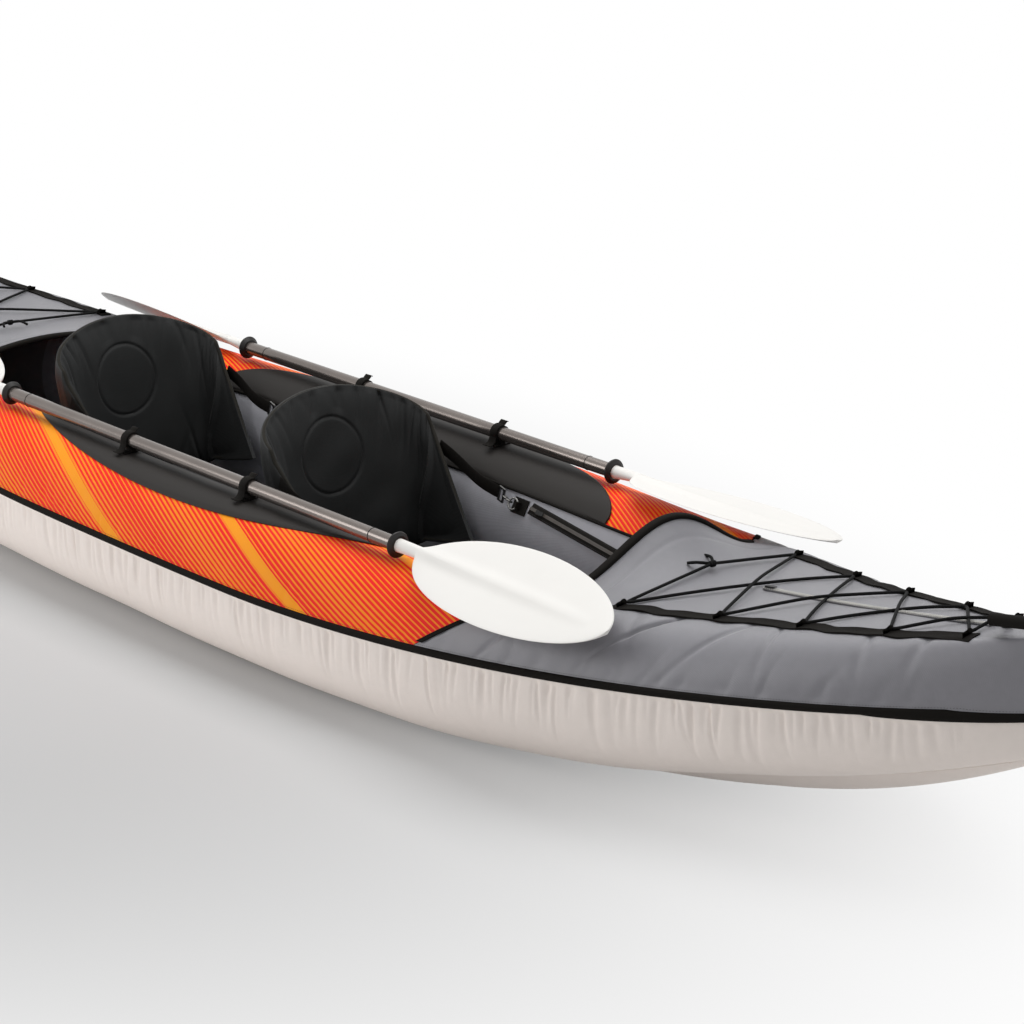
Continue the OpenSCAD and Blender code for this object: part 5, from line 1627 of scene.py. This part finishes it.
# %% Hard pieces
def dress(finish, *names):
    for name in names:
        obj = nodes[name]
        obj.data.materials.clear()
        obj.data.materials.append(finish)


for side in SIDES.values():
    dress(dark_metal, "paddle_shaft_" + side)
    for where in BLADE_LABEL.values():
        dress(dark_metal, "blade_stub_%s_%s" % (where, side))
        dress(ring_rubber, "drip_ring_%s_%s" % (where, side))
    dress(moulded_black, "valve_cap_" + side, "wall_slider_" + side)
dress(moulded_black, "floor_valve_cap", "valve_bodies", "handle_anchors")
dress(moulded_black, "bow_zip_slider", "stern_zip_slider")
dress(tape_cloth, "bow_handle", "stern_handle", "ring_patches", "paddle_straps")
dress(wire_steel, "seat_rings", "strap_hooks")
print("hard pieces dressed")

# %% [markdown]
# ## Floor and light
# The boat lies on a pale studio floor, under one broad soft light from above and a weaker one from
# the stern side. More light would turn the floor white, but it would wash out the boat too. So the
# world and the far floor are plain white only to rays from the camera, a reflection or a clear piece,
# and the floor near the boat keeps the shadow under the hull. There the camera also sees the floor a
# darker grey than it bounces, which is painted shade round the boat; it fades to white in an oval.

# %% World
WHITE = (1, 1, 1, 1)
WORLD_STRENGTH = 0.34


def seen_directly(tree, path):
    """1 for rays from the camera, a glossy surface or a clear one, else 0."""
    camera_or_gloss = maths(tree, "MAXIMUM", path["Is Camera Ray"], path["Is Glossy Ray"])
    return maths(tree, "MAXIMUM", camera_or_gloss, path["Is Transmission Ray"])


def studio_world():
    world = bpy.data.worlds.new("studio_world")
    world.use_nodes = True
    tree = world.node_tree
    tree.nodes.clear()
    seen = seen_directly(tree, tree.nodes.new("ShaderNodeLightPath").outputs)
    dim = add(tree, "ShaderNodeBackground", {"Color": WHITE, "Strength": WORLD_STRENGTH})
    bright = add(tree, "ShaderNodeBackground", {"Color": WHITE, "Strength": 1.0})
    mix = add(tree, "ShaderNodeMixShader", {0: seen, 1: dim.outputs[0], 2: bright.outputs[0]})
    add(tree, "ShaderNodeOutputWorld", {"Surface": mix.outputs[0]})
    return world


scene.world = studio_world()
print("world:", scene.world.name)

# %% Floor
FLOOR_HALF, FLOOR_Z = 40, -0.001
# The floor's grey for the light it bounces, and the darker grey the camera sees near the boat: painted
# shade.
FLOOR_BOUNCE, FLOOR_PAINTED_SHADE = (0.84, 0.84, 0.84, 1), (0.56, 0.56, 0.56, 1)
# The oval of painted shade round the boat: its offset, its scale, where the white begins and ends,
# and how white it is there (even next to the hull a little painted white lifts the shadow).
OVAL_MOVE, OVAL_SCALE = (0.6, 0.8, 0.0), (0.32, 0.48, 0.0)
OVAL_FADE, OVAL_WHITE = (0.35, 1.1), (0.06, 1.0)


def floor_finish():
    """A pale floor that keeps the shadow near the boat, adds painted shade there with a darker grey for the
    camera, and turns plain white further out.
    """
    mat, tree, shader, place = start_finish("studio_floor")
    shader.inputs["Roughness"].default_value = 0.9
    shader.inputs["Specular IOR Level"].default_value = 0.0
    moved = add(tree, "ShaderNodeVectorMath", {0: place, 1: OVAL_MOVE}, operation="ADD")
    oval = add(tree, "ShaderNodeVectorMath", {0: moved.outputs[0], 1: OVAL_SCALE}, operation="MULTIPLY")
    reach = add(tree, "ShaderNodeVectorMath", {0: oval.outputs[0]}, operation="LENGTH").outputs["Value"]
    fade = scaled(tree, reach, OVAL_WHITE, OVAL_FADE, interpolation_type="SMOOTHSTEP")
    path = tree.nodes.new("ShaderNodeLightPath").outputs
    # Painted shade: the camera sees a darker grey than the floor bounces.
    tone = mix_colour(tree, path["Is Camera Ray"], FLOOR_BOUNCE, FLOOR_PAINTED_SHADE)
    tree.links.new(tone, shader.inputs["Base Color"])
    share = maths(tree, "MULTIPLY", seen_directly(tree, path), fade)
    white = add(tree, "ShaderNodeEmission", {"Color": WHITE, "Strength": 1.0})
    mix = add(tree, "ShaderNodeMixShader", {0: share, 1: shader.outputs[0], 2: white.outputs[0]})
    tree.links.new(mix.outputs[0], tree.nodes["Material Output"].inputs["Surface"])
    return mat


floor_mesh = bpy.data.meshes.new("studio_floor")
corners = [(x * FLOOR_HALF, y * FLOOR_HALF, FLOOR_Z) for x, y in ((-1, -1), (1, -1), (1, 1), (-1, 1))]
floor_mesh.from_pydata(corners, [], [(0, 1, 2, 3)])
floor_mesh.materials.append(floor_finish())
studio_floor = bpy.data.objects.new("studio_floor", floor_mesh)
scene.collection.objects.link(studio_floor)
print("floor", 2 * FLOOR_HALF, "m across")


# %% Lights
def area_light(name, place, aim, size, power):
    data = bpy.data.lights.new(name, "AREA")
    data.shape, data.size, data.size_y, data.energy = "RECTANGLE", size[0], size[1], power
    lamp = bpy.data.objects.new(name, data)
    scene.collection.objects.link(lamp)
    lamp.location = place
    lamp.rotation_mode = "QUATERNION"
    lamp.rotation_quaternion = (Vector(aim) - Vector(place)).to_track_quat("-Z", "Y")


area_light("top_soft", place=(0.3, 0.8, 3.9), aim=(0.3, 0, 0), size=(6.0, 2.6), power=150)
area_light("stern_side_fill", place=(-3.0, -4.5, 2.2), aim=(0.2, 0, 0.2), size=(3.0, 2.5), power=105)
print("lights:", [lamp.name for lamp in bpy.data.lights])
